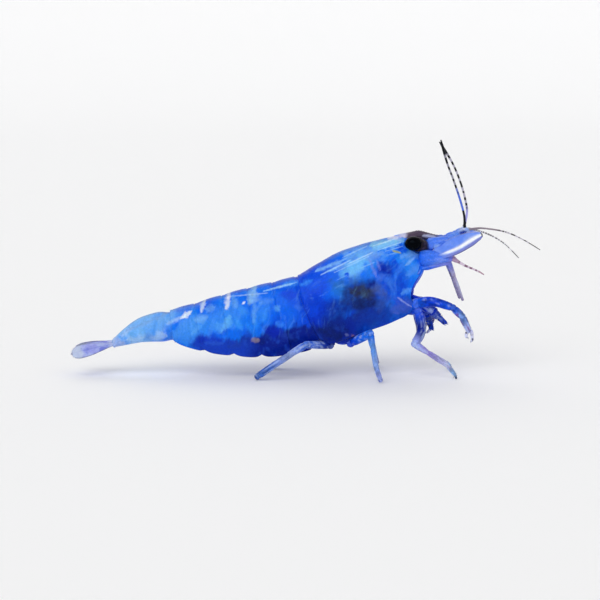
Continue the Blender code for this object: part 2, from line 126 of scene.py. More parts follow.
def rows_at(rows, places):
    """Rows at places (0 is the first row) on Catmull-Rom curves through a list of rows."""
    rows = np.asarray(rows, float)
    if rows.ndim == 1:
        rows = rows[:, None]
    last = len(rows) - 1
    places = np.asarray(places, float)
    index = np.clip(np.floor(places).astype(int), 0, last - 1)
    t = (places - index)[..., None]
    a, b, c, d = (rows[np.clip(index + k, 0, last)] for k in (-1, 0, 1, 2))
    return 0.5 * (2 * b + (c - a) * t + (2 * a - 5 * b + 4 * c - d) * t**2 + (3 * b - a - 3 * c + d) * t**3)


def through(knots, places):
    """A smooth function through knots, a list of (place, value)."""
    knots = np.asarray(knots, float)
    index = np.interp(places, knots[:, 0], np.arange(len(knots)))
    return rows_at(knots[:, 1], index)[..., 0]


def crowded(count, pull):
    """Values from 0 to 1 that lie closer together towards both ends."""
    t = np.linspace(0, 1, count)
    return t - pull * np.sin(2 * math.pi * t) / (2 * math.pi)


def rounded(count, start, end):
    """Radii, as shares of the full one, of a form with rounded ends that take the given shares of it."""
    t = crowded(count, 0.92)
    near, far = np.clip(t / start, 0, 1), np.clip((1 - t) / end, 0, 1)
    return np.sqrt(np.maximum(1 - (1 - near)**2, 0.0004)) * np.sqrt(np.maximum(1 - (1 - far)**2, 0.0004))


def noise(points, size, seed):
    """Smooth values from -1 to 1 at points, with features about size millimetres across."""
    place = np.asarray(points, float) / size
    cell = np.floor(place).astype(np.int64)
    part = place - cell
    part = part * part * (3 - 2 * part)
    total = np.zeros(len(place))
    for corner in np.ndindex(2, 2, 2):
        x, y, z = (cell + corner).T
        mixed = (x * 374761393 + y * 668265263 + z * 1440662683 + seed * 1274126177) & 0x7FFFFFFF
        mixed = ((mixed ^ (mixed >> 13)) * 1103515245) & 0x7FFFFFFF
        mixed = mixed ^ (mixed >> 16)
        value = mixed / 0x3FFFFFFF - 1
        total += value * np.where(corner, part, 1 - part).prod(axis=1)
    return total


def cloud(points, size, seed, octaves=4):
    """Several layers of noise, each half the size of the last and 0.55 times as strong."""
    total, weight, whole = 0.0, 1.0, 0.0
    for k in range(octaves):
        total = total + weight * noise(points, size / 2**k, seed + 17 * k)
        whole += weight
        weight *= 0.55
    return total / whole * 1.6


def fibres(points, way, long, short, seed):
    """Noise drawn out along way, a direction (x, z) in the side view."""
    dx, dz = unit(np.array(way, float))
    x, y, z = points.T
    along, across = (x * dx + z * dz) / long, (z * dx - x * dz) / short
    return cloud(np.stack([along, across, y / (3 * short)], 1), 1.0, seed, 3)


# ---------------------------------------------------------------- colours

# A tuple is a colour as a screen shows it, red, green and blue from 0 to 255.
AZURE = (8, 108, 240)
BRIGHT = (40, 140, 244)
ROYAL = (2, 60, 214)
DEEP = (4, 40, 172)
NAVY = (4, 30, 142)
INK = (4, 14, 78)
SKY = (118, 178, 242)
ICE = (176, 208, 246)
WHITE = (222, 232, 248)
STOMACH = (40, 46, 72)
BROWN = (84, 70, 88)
DARK_BROWN = (30, 20, 24)
TAN = (160, 124, 110)
OLIVE = (158, 168, 120)
PINK_BROWN = (132, 96, 120)
LILAC_GREY = (150, 142, 176)
BLACK = (4, 4, 6)


def tint(colour):
    """The linear values of a screen colour. Values that are linear already are given back as they are."""
    if not isinstance(colour, tuple):
        return colour
    share = np.array(colour) / 255
    return np.where(share <= 0.04045, share / 12.92, ((share + 0.055) / 1.055)**2.4)


def blend(under, over, share):
    """Colours under turned towards the colour over by a share at each point."""
    share = np.clip(np.ravel(share), 0, 1)[:, None]
    return tint(under) * (1 - share) + tint(over) * share


def layers(colours, *marks):
    """Colours with marks laid over them in turn, each a colour and its share at each point."""
    for over, share in marks:
        colours = blend(colours, over, share)
    return colours


def mottled(points, under, over, size, seed, low, high, strength, octaves=3):
    """One colour with soft patches of another, where noise rises from low to high."""
    return blend(under, over, ease(cloud(points, size, seed, octaves), low, high) * strength)


def brush(points, start, end, width, ragged, soft, seed=3):
    """How far a brush mark covers each point. start and end are (x, z): the mark goes through the body.

    A long mark thins towards its ends.
    """
    flat = points[:, [0, 2]]
    a, b = np.array(start, float), np.array(end, float)
    run = b - a
    t = np.clip((flat - a) @ run / max(run @ run, 1e-9), 0, 1)
    distance = np.linalg.norm(flat - a - t[:, None] * run, axis=1)
    near = distance < width * 2.5
    cover = np.zeros(len(points))
    if near.any():
        thin = min(0.55, 0.2 * math.sqrt(run @ run) / width) * (2 * t[near] - 1)**2
        reach = width * (1 - thin + ragged * cloud(points[near], max(width, 0.18), seed, 3))
        cover[near] = 1 - ease(distance[near] / np.maximum(reach, 1e-3), 1 - soft, 1 + soft)
    return cover


# Brush marks on the body, as seen from the side: x and z of the start and of the end, half width,
# colour, strength, and softness where it isn't the usual one. Broad washes come first.
USUAL_SOFTNESS = 0.9
ABDOMEN_MARKS = [
    (-9.4, 3.3, -7.6, 4.2, 0.8, (76, 154, 240), 0.75),  # lighter flanks of the rear plates
    (-7.5, 3.9, -4.6, 5.0, 0.72, (60, 146, 240), 0.6), (-3.7, 4.2, -2.6, 5.4, 0.55, (50, 138, 238), 0.55),
    (-2.2, 4.7, -1.2, 5.2, 0.6, (8, 100, 240), 0.6), (-1.6, 6.25, -0.7, 6.1, 0.36, (2, 58, 212), 0.75),
    (-1.6, 6.82, -0.3, 7.14, 0.2, (56, 140, 244), 0.8),  # pale line along the back, a painted highlight
    (-9.1, 2.8, -8.3, 3.0, 0.38, (56, 136, 236), 0.8), (-4.7, 3.5, -4.1, 3.4, 0.4, (10, 86, 224), 0.6),
    (-2.8, 3.7, -2.0, 3.5, 0.45, (4, 38, 186), 0.75),
    (-14.4, 2.35, -13.5, 2.52, 0.46, (166, 182, 228), 0.9),  # pale neck of the tail
    (-13.2, 2.75, -11.9, 2.95, 0.4, (168, 206, 246), 0.8),  # pale belly of the sixth somite
    (-11.2, 2.9, -10.6, 3.0, 0.3, ICE, 0.6), (-12.4, 3.05, -12.9, 3.35, 0.2, (70, 150, 240), 0.7),
    (-11.9, 3.6, -11.2, 3.5, 0.26, (70, 146, 240), 0.55),
    (-13.5, 3.0, -12.8, 3.6, 0.16, (176, 204, 244), 0.6), (-7.9, 2.9, -6.2, 2.85, 0.3, (8, 42, 186), 0.8),
    (-11.7, 2.9, -11.4, 3.1, 0.26, (80, 132, 222), 0.65),
    (-12.9, 3.3, -11.9, 3.35, 0.34, (106, 176, 243), 0.7), (-11.4, 3.8, -10.2, 4.0, 0.3, (90, 158, 236), 0.6),
    (-10.7, 3.25, -10.2, 3.1, 0.28, ICE, 0.6, 0.8),
    (-13.2, 3.4, -10.0, 4.74, 0.12, (118, 160, 224), 0.65),  # along its back
    (-9.6, 4.84, -7.6, 5.42, 0.2, (60, 108, 224), 0.75, 0.8), (-10.1, 4.0, -8.9, 4.55, 0.12, ICE, 0.6),
    (-8.3, 3.3, -7.6, 3.9, 0.2, (100, 174, 244), 0.6),  # mottling above the navy
    (-6.1, 3.55, -5.5, 4.6, 0.2, (110, 184, 244), 0.65), (-4.6, 3.7, -5.1, 4.6, 0.16, (60, 150, 246), 0.65),
    (-2.1, 4.2, -1.6, 4.0, 0.22, (60, 140, 244), 0.65), (-3.0, 4.4, -2.8, 5.2, 0.14, (60, 144, 244), 0.6),
    (-9.1, 4.42, -8.36, 4.86, 0.17, WHITE, 1.0, 0.6),  # white dashes under the back, painted highlights
    (-7.4, 5.6, -7.6, 4.92, 0.17, (196, 214, 244), 0.95, 0.7), (-7.3, 5.05, -6.6, 5.22, 0.2, SKY, 0.6),
    (-8.1, 4.3, -7.2, 4.5, 0.22, (120, 178, 242), 0.55),
    (-5.56, 6.22, -5.78, 5.14, 0.18, (214, 224, 247), 0.95, 0.7),
    (-5.3, 5.95, -5.05, 5.4, 0.24, (110, 172, 242), 0.6),
    (-3.66, 6.6, -4.05, 5.6, 0.34, (140, 192, 240), 0.85), (-4.56, 5.5, -4.38, 5.66, 0.08, WHITE, 0.95, 0.7),
    (-3.66, 5.5, -3.74, 4.2, 0.17, (104, 170, 242), 0.55), (-3.3, 5.6, -2.3, 5.85, 0.18, (90, 156, 240), 0.5),
    (-3.0, 6.4, -0.6, 7.04, 0.06, (150, 202, 248), 0.9, 0.8),  # thin pale lines along the back, painted highlights
    (-5.3, 6.0, -2.6, 6.3, 0.04, ICE, 0.6), (-2.08, 5.3, -1.92, 5.2, 0.17, (100, 180, 244), 0.7),
    (-6.4, 4.1, -6.2, 3.6, 0.3, (80, 160, 244), 0.7), (-5.5, 4.4, -5.6, 3.9, 0.28, (92, 174, 242), 0.75),
    (-4.9, 5.0, -4.7, 4.3, 0.16, (20, 116, 240), 0.6), (-7.6, 3.75, -7.3, 3.45, 0.28, (54, 144, 244), 0.6),
    (-6.7, 3.2, -6.9, 2.9, 0.3, (20, 70, 206), 0.6),
    (-3.74, 2.88, -3.48, 2.9, 0.18, (142, 128, 142), 0.95, 0.6),  # rust-coloured spot
    (-7.35, 2.64, -6.05, 2.62, 0.16, (40, 92, 204), 0.55), (-5.6, 2.4, -4.6, 2.5, 0.22, (30, 64, 170), 0.5),
    (-1.6, 3.3, -1.1, 3.1, 0.3, (30, 62, 170), 0.6),
]
CARAPACE_MARKS = [
    (-0.1, 4.3, 1.9, 5.4, 1.15, (2, 46, 188), 0.9),  # royal blue behind
    (0.4, 6.8, 1.6, 7.4, 0.6, (12, 86, 230), 0.65), (2.1, 4.5, 3.0, 5.5, 0.9, (6, 38, 138), 0.9),
    (1.1, 3.7, 2.6, 3.1, 0.6, (8, 26, 98), 0.85),  # deep shade over the leg bases
    (0.5, 4.7, 0.9, 5.3, 0.35, (6, 72, 226), 0.6), (4.2, 4.4, 5.6, 4.9, 0.75, (14, 44, 150), 0.8),
    (5.5, 8.0, 7.0, 5.9, 0.85, (8, 68, 210), 0.9),  # royal cheek
    (6.7, 5.3, 7.5, 5.4, 0.5, (64, 86, 190), 0.75), (5.4, 5.4, 5.9, 6.3, 0.5, (50, 74, 158), 0.7),
    (3.1, 9.0, 5.4, 9.5, 0.42, (116, 180, 244), 0.75),
    (-0.66, 7.36, -0.52, 6.4, 0.12, (100, 172, 246), 0.85, 0.8),  # painted highlight along the rear edge
    (-0.3, 6.9, 0.6, 7.3, 0.14, (60, 146, 244), 0.6),
    (0.8, 7.86, 3.1, 8.84, 0.11, (130, 188, 247), 0.85),  # long pale streaks under the back, painted highlights
    (1.6, 7.9, 3.9, 8.72, 0.12, SKY, 0.6), (1.9, 7.1, 3.1, 7.6, 0.18, (30, 112, 232), 0.6),
    (2.9, 7.9, 4.4, 8.75, 0.52, (104, 184, 245), 0.95),  # cyan patch on the flank
    (3.4, 7.75, 4.2, 8.2, 0.3, (120, 194, 246), 0.6), (4.6, 8.9, 5.6, 9.2, 0.3, (110, 156, 232), 0.65),
    (1.2, 7.66, 3.4, 8.76, 0.045, (176, 216, 250), 0.8),  # fine scratches of painted highlight
    (2.2, 7.86, 4.7, 9.02, 0.04, (160, 208, 250), 0.7), (3.1, 8.44, 5.0, 9.3, 0.045, (186, 220, 250), 0.7),
    (2.8, 8.9, 4.6, 9.7, 0.04, (170, 214, 250), 0.6), (2.3, 7.3, 3.1, 7.7, 0.035, (120, 180, 246), 0.6),
    (4.1, 8.2, 5.1, 8.6, 0.045, (150, 204, 250), 0.6),
    (2.35, 6.95, 2.75, 6.8, 0.46, (32, 98, 176), 0.85),  # greenish beside the stomach
    (3.3, 7.2, 3.9, 7.4, 0.34, (60, 124, 196), 0.6),
    (3.2, 6.25, 4.9, 6.05, 0.9, (26, 42, 104), 0.9),  # stomach showing through the shell
    (3.5, 6.55, 4.9, 6.5, 0.58, STOMACH, 1.0, 0.8), (3.7, 5.5, 4.9, 5.6, 0.45, (10, 26, 88), 0.9),
    (5.1, 6.8, 5.5, 6.6, 0.42, (70, 88, 156), 0.75), (4.98, 7.16, 4.72, 7.0, 0.28, (10, 30, 126), 0.95, 0.8),
    (5.6, 8.35, 6.2, 7.95, 0.42, (8, 40, 166), 0.95), (5.9, 7.4, 6.4, 7.1, 0.26, (60, 122, 226), 0.6),
    (5.3, 7.4, 5.9, 7.7, 0.2, (80, 130, 230), 0.5), (6.6, 8.6, 7.3, 6.7, 0.46, (6, 62, 206), 0.8),
    (4.4, 7.6, 5.0, 7.8, 0.3, (28, 98, 226), 0.55), (6.9, 9.62, 7.4, 9.45, 0.28, (8, 76, 226), 0.9),
    (4.8, 9.72, 7.2, 10.12, 0.32, (132, 200, 244), 0.95),  # cyan patch behind the eye
    (5.0, 9.7, 6.9, 10.3, 0.045, (190, 228, 250), 0.85), (5.4, 9.45, 7.1, 10.0, 0.04, (176, 220, 250), 0.8),
    (5.9, 9.36, 7.2, 9.72, 0.035, (150, 204, 250), 0.75), (6.0, 9.1, 7.0, 9.34, 0.04, (120, 186, 248), 0.7),
    (6.2, 10.3, 7.6, 10.66, 0.24, (206, 208, 236), 1.0),
    (6.46, 9.42, 7.02, 9.24, 0.07, OLIVE, 1.0, 0.6),  # small yellow-green crescent
    (7.1, 8.95, 8.95, 9.3, 0.26, (104, 162, 242), 0.8),  # pale streaks of the cheek
    (8.9, 8.62, 7.5, 7.6, 0.26, (84, 146, 240), 0.75), (7.34, 8.7, 6.6, 7.5, 0.18, (64, 134, 242), 0.55),
    (8.1, 8.9, 7.3, 8.3, 0.1, (150, 196, 246), 0.55), (4.75, 8.75, 5.25, 7.55, 0.1, (116, 138, 228), 0.75),
    # the last mark on the next line is a painted highlight over the lower front corner
    (5.3, 8.75, 5.5, 8.05, 0.08, (120, 140, 230), 0.6), (7.12, 6.32, 7.8, 6.64, 0.17, (86, 154, 242), 0.8),
    (6.8, 6.02, 7.9, 5.26, 0.06, (140, 158, 226), 0.85, 0.7),  # painted highlight along the edge of the lower front corner
    (6.55, 4.92, 6.95, 4.84, 0.11, (86, 104, 204), 0.5),
    (3.47, 3.2, 3.55, 3.16, 0.1, (130, 98, 118), 0.7, 0.8),
    (3.05, 3.32, 3.15, 3.26, 0.1, (120, 132, 196), 0.6, 0.8),
]
# How far up the sides the navy reaches: x, share of the height.
NAVY_EDGE = [
    (-12.0, 0.10), (-9.2, 0.18), (-8.5, 0.29), (-7.5, 0.37), (-6.5, 0.32), (-4.8, 0.31), (-4.25, 0.41),
    (-3.6, 0.32), (-3.2, 0.34), (-2.5, 0.45), (-1.35, 0.37), (-0.5, 0.40), (0.6, 0.36), (4.0, 0.28),
    (9.0, 0.26),
]


def paint_body(points, height, marks):
    """The blue of the shell. height is 0 at a plate's lower edge and 1 on the back."""
    x = points[:, 0]
    bent = points + np.stack([noise(points, 0.9, seed) for seed in (31, 32, 33)], 1) * 0.35
    upright = bent * np.array([1.0, 0.7, 0.42])                 # patches drawn out up and down
    patches = cloud(upright, 1.15, 5)
    # the lower third is navy, with a ragged upper edge
    wave = 0.035 * noise(points, 0.8, 11) + 0.035 * noise(points, 0.3, 12)
    wave = wave + 0.03 * fibres(points, (0.1, 1), 0.8, 0.15, 13)
    edge = through(NAVY_EDGE, x)
    low = 1 - ease(height + wave, edge - 0.05, edge + 0.05)
    dark = layers(
        (20, 62, 190),
        (NAVY, ease(x + 0.8 * noise(points, 0.6, 14), -5.2, -2.6)),
        ((30, 76, 196), ease(cloud(points, 0.55, 14, 3), 0.1, 0.8) * 0.6),
        (INK, ease(-cloud(points, 0.7, 10, 3), 0.2, 0.9) * 0.5 * ease(x, -6.0, -3.0)),
    )
    share = low * ease(x + 0.4 * noise(points, 0.5, 9), -9.0, -7.7)
    # the sixth somite is pale
    pale = mottled(upright, SKY, BRIGHT, 0.8, 15, -0.1, 0.7, 0.7, 4)
    reach = x - 1.5 * (np.asarray(height) - 0.45) + 0.6 * noise(points, 0.7, 16)
    colours = layers(
        AZURE,
        (BRIGHT, ease(patches, 0.12, 0.75) * 0.75),
        (ROYAL, ease(-patches, 0.05, 0.7) * 0.8),
        (ROYAL, np.exp(-((x - 0.2) / 1.9)**2) * 0.85),          # where the carapace meets the abdomen
        (dark, share * (1 - 0.45 * ease(x, 2.5, 6.0))),
        (pale, 1 - ease(reach, -11.0, -9.3)),
    )
    # marks, which lie a little differently on the left side
    left = ease(points[:, 1], 0.0, 1.2)[:, None]
    moved = points + left * np.stack([noise(points, 1.6, 17), 0 * x, noise(points, 1.6, 18)], 1) * 0.45
    worn = 0.90 + 0.20 * cloud(points, 0.16, 19, 2)
    for number, (x0, z0, x1, z1, width, colour, strength, *soft) in enumerate(marks):
        soft = soft[0] if soft else USUAL_SOFTNESS
        cover = brush(moved, (x0, z0), (x1, z1), width, 0.5, soft, 40 + number)
        colours = blend(colours, colour, cover * strength * worn)
    # fine streaks along the back, and up and down the sides
    on_back = ease(height + 0.1 * noise(points, 1.0, 20), 0.45, 0.65) * ease(x, -1.0, 1.5)
    lengthwise = fibres(bent, (0.90, 0.44), 1.5, 0.19, 21)
    upward = fibres(bent, (0.14, 1.0), 1.0, 0.19, 22)
    fibre = upward * (1 - on_back) + lengthwise * on_back
    colours = blend(colours, colours * 0.7, ease(-fibre, 0.1, 0.9) * (0.25 + 0.2 * on_back))
    lighter = colours + (tint((120, 190, 250)) - colours) * 0.45
    light_share = (0.35 + 0.25 * on_back) * ease(height, 0.15, 0.5)
    colours = blend(colours, lighter, ease(fibre, 0.15, 0.9) * light_share)
    # the line of the back is darker, a painted shade along the top
    return blend(colours, colours * 0.6, ease(height, 0.958, 0.995) * 0.7 * (1 - ease(x, 5.6, 6.4)))


# ---------------------------------------------------------------- forms

class Shape:
    """Collects closed forms in millimetres, with a colour at every point, to make one piece of them."""

    def __init__(self):
        self.points, self.quads, self.triangles, self.colours, self.roots = [], [], [], [], []
        self.count = 0

    def add(self, points, colours, quads, triangles=(), roots=None):
        points = np.array(points, float).reshape(-1, 3)
        points[:, 2] = np.maximum(points[:, 2], 0.0)        # feet are flat where they meet the floor
        self.quads.append(quads + self.count)
        if len(triangles):
            self.triangles.append(triangles + self.count)
        self.points.append(points)
        self.colours.append(np.broadcast_to(tint(colours), points.shape))
        self.roots.append(np.zeros((len(points), 2)) if roots is None else roots)
        self.count += len(points)

    def mesh(self, name, points):
        """A mesh of the collected faces over the given points, facing outward."""
        faces = [face for block in self.quads + self.triangles for face in block.tolist()]
        mesh = bpy.data.meshes.new(name)
        mesh.from_pydata(points.tolist(), [], faces)
        bm = bmesh.new()
        bm.from_mesh(mesh)
        bmesh.ops.recalc_face_normals(bm, faces=bm.faces)
        bm.to_mesh(mesh)
        bm.free()
        return mesh

    def piece(self, name, finish, slot, nodes=(), coat=False):
        """Makes the piece, which rides on the one body and stands for the given nodes."""
        mesh = self.mesh(name, (np.concatenate(self.points) + np.array([AHEAD, 0, 0])) * MM)
        paint_points(mesh, np.concatenate(self.colours))
        if coat:
            layer = mesh.uv_layers.new(name="OFBake")
            corners = np.empty(len(mesh.loops), np.int32)
            mesh.loops.foreach_get("vertex_index", corners)
            layer.data.foreach_set("uv", np.concatenate(self.roots)[corners].astype(np.float32).ravel())
        place(name, mesh, finish, slot, nodes)


def paint_points(mesh, colours):
    layer = mesh.color_attributes.new("tint", "FLOAT_COLOR", "POINT")
    values = np.ones((len(colours), 4), np.float32)
    values[:, :3] = np.clip(colours, 0, 1)
    layer.data.foreach_set("color", values.ravel())


def add_object(name, data):
    """Puts an object with the given mesh, lamp or camera into the scene."""
    made = bpy.data.objects.new(name, data)
    bpy.context.scene.collection.objects.link(made)
    return made


def place(name, mesh, finish, slot, nodes):
    made = add_object(name, mesh)
    mesh.materials.append(finish)
    mesh.shade_smooth()
    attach(made, "root")
    if nodes:
        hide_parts(*nodes)


def grid_faces(rows, columns, wrap=False):
    """Quads of a grid of points, row after row. wrap joins the last column to the first."""
    row = np.arange(rows - 1)[:, None] * columns
    here = np.arange(columns if wrap else columns - 1)
    there = (here + 1) % columns
    return np.stack([row + here, row + there, row + columns + there, row + columns + here], -1).reshape(-1, 4)


def outward_normals(grid, inside):
    """Normals of a grid of points, away from a point inside the body."""
    normals = unit(np.cross(np.gradient(grid, axis=0), np.gradient(grid, axis=1)))
    return -normals if (normals * (grid - inside)).sum() < 0 else normals


def distance_to_edge(grid):
    """For each point of a grid, how far it is along the surface to the nearest of the four edges."""
    reach = []
    for way in (grid, grid.swapaxes(0, 1)):
        along = np.cumsum(np.linalg.norm(np.diff(way, axis=0), axis=-1), axis=0)
        along = np.concatenate([np.zeros((1, way.shape[1])), along])
        reach.append(np.minimum(along, along[-1:] - along))
    return np.minimum(reach[0], reach[1].T)


def add_sheet(shape, outer, inner, outer_colours, inner_colours):
    """A closed sheet between two grids of points."""
    rows, columns = outer.shape[:2]
    size = rows * columns
    faces = grid_faces(rows, columns)
    border = np.concatenate([
        np.arange(columns), np.arange(1, rows) * columns + columns - 1,
        (rows - 1) * columns + np.arange(columns - 2, -1, -1), np.arange(rows - 2, 0, -1) * columns,
    ])
    after = np.roll(border, -1)
    strip = np.stack([border, after, after + size, border + size], 1)
    shape.add(
        np.concatenate([outer, inner]), np.concatenate([outer_colours, inner_colours]),
        np.concatenate([faces, faces[:, ::-1] + size, strip]),
    )


def add_plate(shape, grid, thickness, colours, inside):
    """A thin plate under a grid of points, with rounded rims. inside is a point inside the body."""
    half = outward_normals(grid, inside) * thickness * 0.5
    edge = np.clip(distance_to_edge(grid) / RIM, 0, 1)
    round_off = np.maximum(np.sqrt(np.maximum(1 - (1 - edge)**2, 0))[..., None], 0.12)
    add_sheet(shape, grid - half * (1 - round_off), grid - half * (1 + round_off), colours, colours * 0.8)


def add_rings(shape, rings, ends, colours):
    """A closed form of rings of points, drawn together to a point at each end.

    colours is one colour, one for each ring or each point, or a function of the points.
    """
    count, around = rings.shape[:2]
    size = count * around
    points = np.concatenate([rings.reshape(-1, 3), ends])
    if callable(colours):
        colours = colours(points)
    elif np.ndim(colours) == 2:
        body = np.repeat(colours, size // len(colours), axis=0)
        colours = np.concatenate([body, colours[:1], colours[-1:]])
    here = np.arange(around)
    there = (here + 1) % around
    caps = np.concatenate([
        np.stack([np.full(around, size), there, here], 1),
        np.stack([np.full(around, size + 1), size - around + here, size - around + there], 1),
    ])
    shape.add(points, colours, grid_faces(count, around, wrap=True), caps)


def smooth_path(points, count, pull=0.0):
    """Points along a smooth curve through a route, evenly spaced along it or crowded at its ends."""
    points = np.asarray(points, float)
    if len(points) == 2:
        return points[0] + crowded(count, pull)[:, None] * (points[1] - points[0])
    dense = rows_at(points, np.linspace(0, len(points) - 1, 60 * len(points)))
    along = np.concatenate([[0], np.cumsum(np.linalg.norm(np.diff(dense, axis=0), axis=1))])
    wanted = crowded(count, pull) * along[-1]
    return np.stack([np.interp(wanted, along, dense[:, k]) for k in range(3)], 1)


def add_tube(shape, path, radii, colours, around, flat=1.0):
    """A closed tube along a path. flat below 1 makes it thinner from side to side."""
    ways = unit(np.gradient(path, axis=0))
    side = np.array([0.0, 1, 0] if abs(ways[0][1]) <= 0.95 else [1.0, 0, 0])
    sides = []
    for way in ways:
        side = unit(side - way * (side @ way))
        sides.append(side)
    others = np.cross(ways, sides)[:, None]
    angle = turns(around)[None, :, None]
    radii = np.broadcast_to(radii, len(path))[:, None, None]
    rings = path[:, None] + radii * (flat * np.cos(angle) * np.array(sides)[:, None] + np.sin(angle) * others)
    add_rings(shape, rings, path[[0, -1]], colours)


def add_ellipsoid(shape, centre, ways, colours, rings=14, around=18):
    """An ellipsoid with three half axes given as vectors."""
    t = np.linspace(0.04, 0.96, rings)[:, None, None] * math.pi
    angle = turns(around)[None, :, None]
    centre = np.asarray(centre, float)
    a, b, c = (np.asarray(way, float) for way in ways)
    grid = centre + np.cos(t) * a + np.sin(t) * np.cos(angle) * b + np.sin(t) * np.sin(angle) * c
    add_rings(shape, grid, [centre + a, centre - a], colours)


def add_bristles(shape, roots, ways, lengths, width, colour):
    """Straight tapering hairs with three sides, from roots along ways."""
    count, each = len(roots), 10
    ways = unit(ways)
    lengths = np.broadcast_to(lengths, count)[:, None]
    side = unit(np.cross(ways, np.array([0.31, 0.62, 0.72])))
    other = np.cross(ways, side)
    rings = []
    for share, thick in ((-0.04, 1.0), (0.35, 0.85), (0.7, 0.55)):
        for angle in turns(3):
            rings.append(roots + ways * lengths * share
                         + width * thick * (side * math.cos(angle) + other * math.sin(angle)))
    rings.append(roots + ways * lengths)
    corners = [(k, (k + 1) % 3) for k in range(3)]
    quads = [[level + k, level + n, level + 3 + n, level + 3 + k] for level in (0, 3) for k, n in corners]
    tips = [[6 + k, 6 + n, 9] for k, n in corners] + [[2, 1, 0]]
    base = np.arange(count)[:, None, None] * each
    # each hair's patch of the map lies at its root's place in the side view of its own side
    patch = 0.0015 * np.array([(math.cos(0.63 * k), math.sin(0.63 * k)) for k in range(each)])
    places = np.stack([(roots[:, 0] + 18) / 36, (roots[:, 2] + 3 * np.sign(roots[:, 1]) + 4) / 26], 1)
    uv = np.clip(places[:, None] + patch[None], 0, 1)
    shape.add(np.stack(rings, 1), colour, (base + np.array(quads)).reshape(-1, 4),
              (base + np.array(tips)).reshape(-1, 3), uv.reshape(-1, 2))


# ---------------------------------------------------------------- materials

BUMP_HEIGHT = 0.03                      # millimetres
BLUE_SHEEN = (0.35, 0.62, 1.0, 1.0)     # the highlights of a blue shell


def set_inputs(node, values):
    for key, value in values.items():
        node.inputs[key].default_value = value


def living(name, rough=(0.24, 0.42), grain=0.12, grain_size=0.16, speck=0.0, speck_size=0.22,
           speck_colour=WHITE, bump=0.25, soft=0.15, coat=0.08, gloss=0.1):
    """A wet, slightly translucent surface: the painted colour with grain, specks, bump and gloss.

    grain and speck are strengths, their sizes are in millimetres, and soft is how far light
    spreads under the surface, in millimetres.
    """
    made = bpy.data.materials.new(name)
    made.use_nodes = True
    nodes, links = made.node_tree.nodes, made.node_tree.links
    shader = nodes["Principled BSDF"]
    painted = nodes.new("ShaderNodeAttribute")
    painted.attribute_name = "tint"
    where = nodes.new("ShaderNodeTexCoord")
    in_mm = nodes.new("ShaderNodeMapping")
    set_inputs(in_mm, {"Scale": (1 / MM, 1 / MM, 1 / MM)})
    links.new(where.outputs["Object"], in_mm.inputs["Vector"])

    def texture(kind, size, **values):
        node = nodes.new(kind)
        set_inputs(node, {"Scale": 1 / size, **values})
        links.new(in_mm.outputs["Vector"], node.inputs["Vector"])
        return node

    def span(source, low, high, to_low, to_high):
        node = nodes.new("ShaderNodeMapRange")
        set_inputs(node, {"From Min": low, "From Max": high, "To Min": to_low, "To Max": to_high})
        links.new(source, node.inputs["Value"])
        return node.outputs["Result"]

    cloudy = texture("ShaderNodeTexNoise", grain_size, Detail=5.0, Roughness=0.62, Distortion=0.4)
    light = span(cloudy.outputs["Fac"], 0.3, 0.7, 1 - grain, 1 + grain)
    grained = nodes.new("ShaderNodeVectorMath")
    grained.operation = "SCALE"
    links.new(painted.outputs["Color"], grained.inputs["Vector"])
    links.new(light, grained.inputs["Scale"])
    colour = grained.outputs["Vector"]
    if speck:
        dots = texture("ShaderNodeTexVoronoi", speck_size)
        patchy = texture("ShaderNodeTexNoise", speck_size * 5, Detail=2.0)
        dot = span(dots.outputs["Distance"], 0.14, 0.30, 1.0, 0.0)
        gate = span(patchy.outputs["Fac"], 0.48, 0.60, 0.0, speck)
        strength = nodes.new("ShaderNodeMath")
        strength.operation = "MULTIPLY"
        links.new(dot, strength.inputs[0])
        links.new(gate, strength.inputs[1])
        mixed = nodes.new("ShaderNodeMix")
        mixed.data_type = "RGBA"
        links.new(strength.outputs[0], mixed.inputs["Factor"])
        links.new(colour, mixed.inputs[6])
        mixed.inputs[7].default_value = (*tint(speck_colour), 1)
        colour = mixed.outputs[2]
    links.new(colour, shader.inputs["Base Color"])
    uneven = texture("ShaderNodeTexNoise", grain_size * 2.5, Detail=3.0)
    links.new(span(uneven.outputs["Fac"], 0.3, 0.7, *rough), shader.inputs["Roughness"])
    fine = texture("ShaderNodeTexNoise", grain_size * 0.6, Detail=4.0, Roughness=0.55)
    bumps = nodes.new("ShaderNodeBump")
    set_inputs(bumps, {"Strength": bump, "Distance": BUMP_HEIGHT * MM})
    links.new(fine.outputs["Fac"], bumps.inputs["Height"])
    links.new(bumps.outputs["Normal"], shader.inputs["Normal"])
    if soft:
        set_inputs(shader, {
            "Subsurface Weight": 0.2, "Subsurface Radius": (0.5, 0.7, 1.0), "Subsurface Scale": soft * MM,
        })
    set_inputs(shader, {
        "Coat Weight": coat, "Coat Roughness": 0.12, "Specular IOR Level": gloss,
        "Specular Tint": BLUE_SHEEN, "IOR": 1.5,
    })
    return made


SHELL = living("shell_blue", speck=0.10, speck_colour=(70, 140, 245), speck_size=0.12)
FLESH = living("flesh_blue", rough=(0.35, 0.55), coat=0.2)
LIMB = living("limb_blue", grain=0.18, grain_size=0.12, speck=0.45, speck_size=0.10,
              speck_colour=(20, 40, 150), soft=0.10)
BLADE = living("blade_lavender", grain=0.08, soft=0.12, bump=0.15)
BEAK = living("beak_brown", grain=0.15)
WHIP = living("whip_banded", grain=0.1, grain_size=0.06, soft=0.0, coat=0.15, rough=(0.35, 0.5))
EYE = living("eye_black", rough=(0.10, 0.18), grain=0.2, grain_size=0.08, soft=0.0, coat=0.012,
             bump=0.12, gloss=0.03)
HAIR = living("bristle", grain=0.05, soft=0.0, coat=0.0, rough=(0.45, 0.6), bump=0.0)


# ---------------------------------------------------------------- shell plates

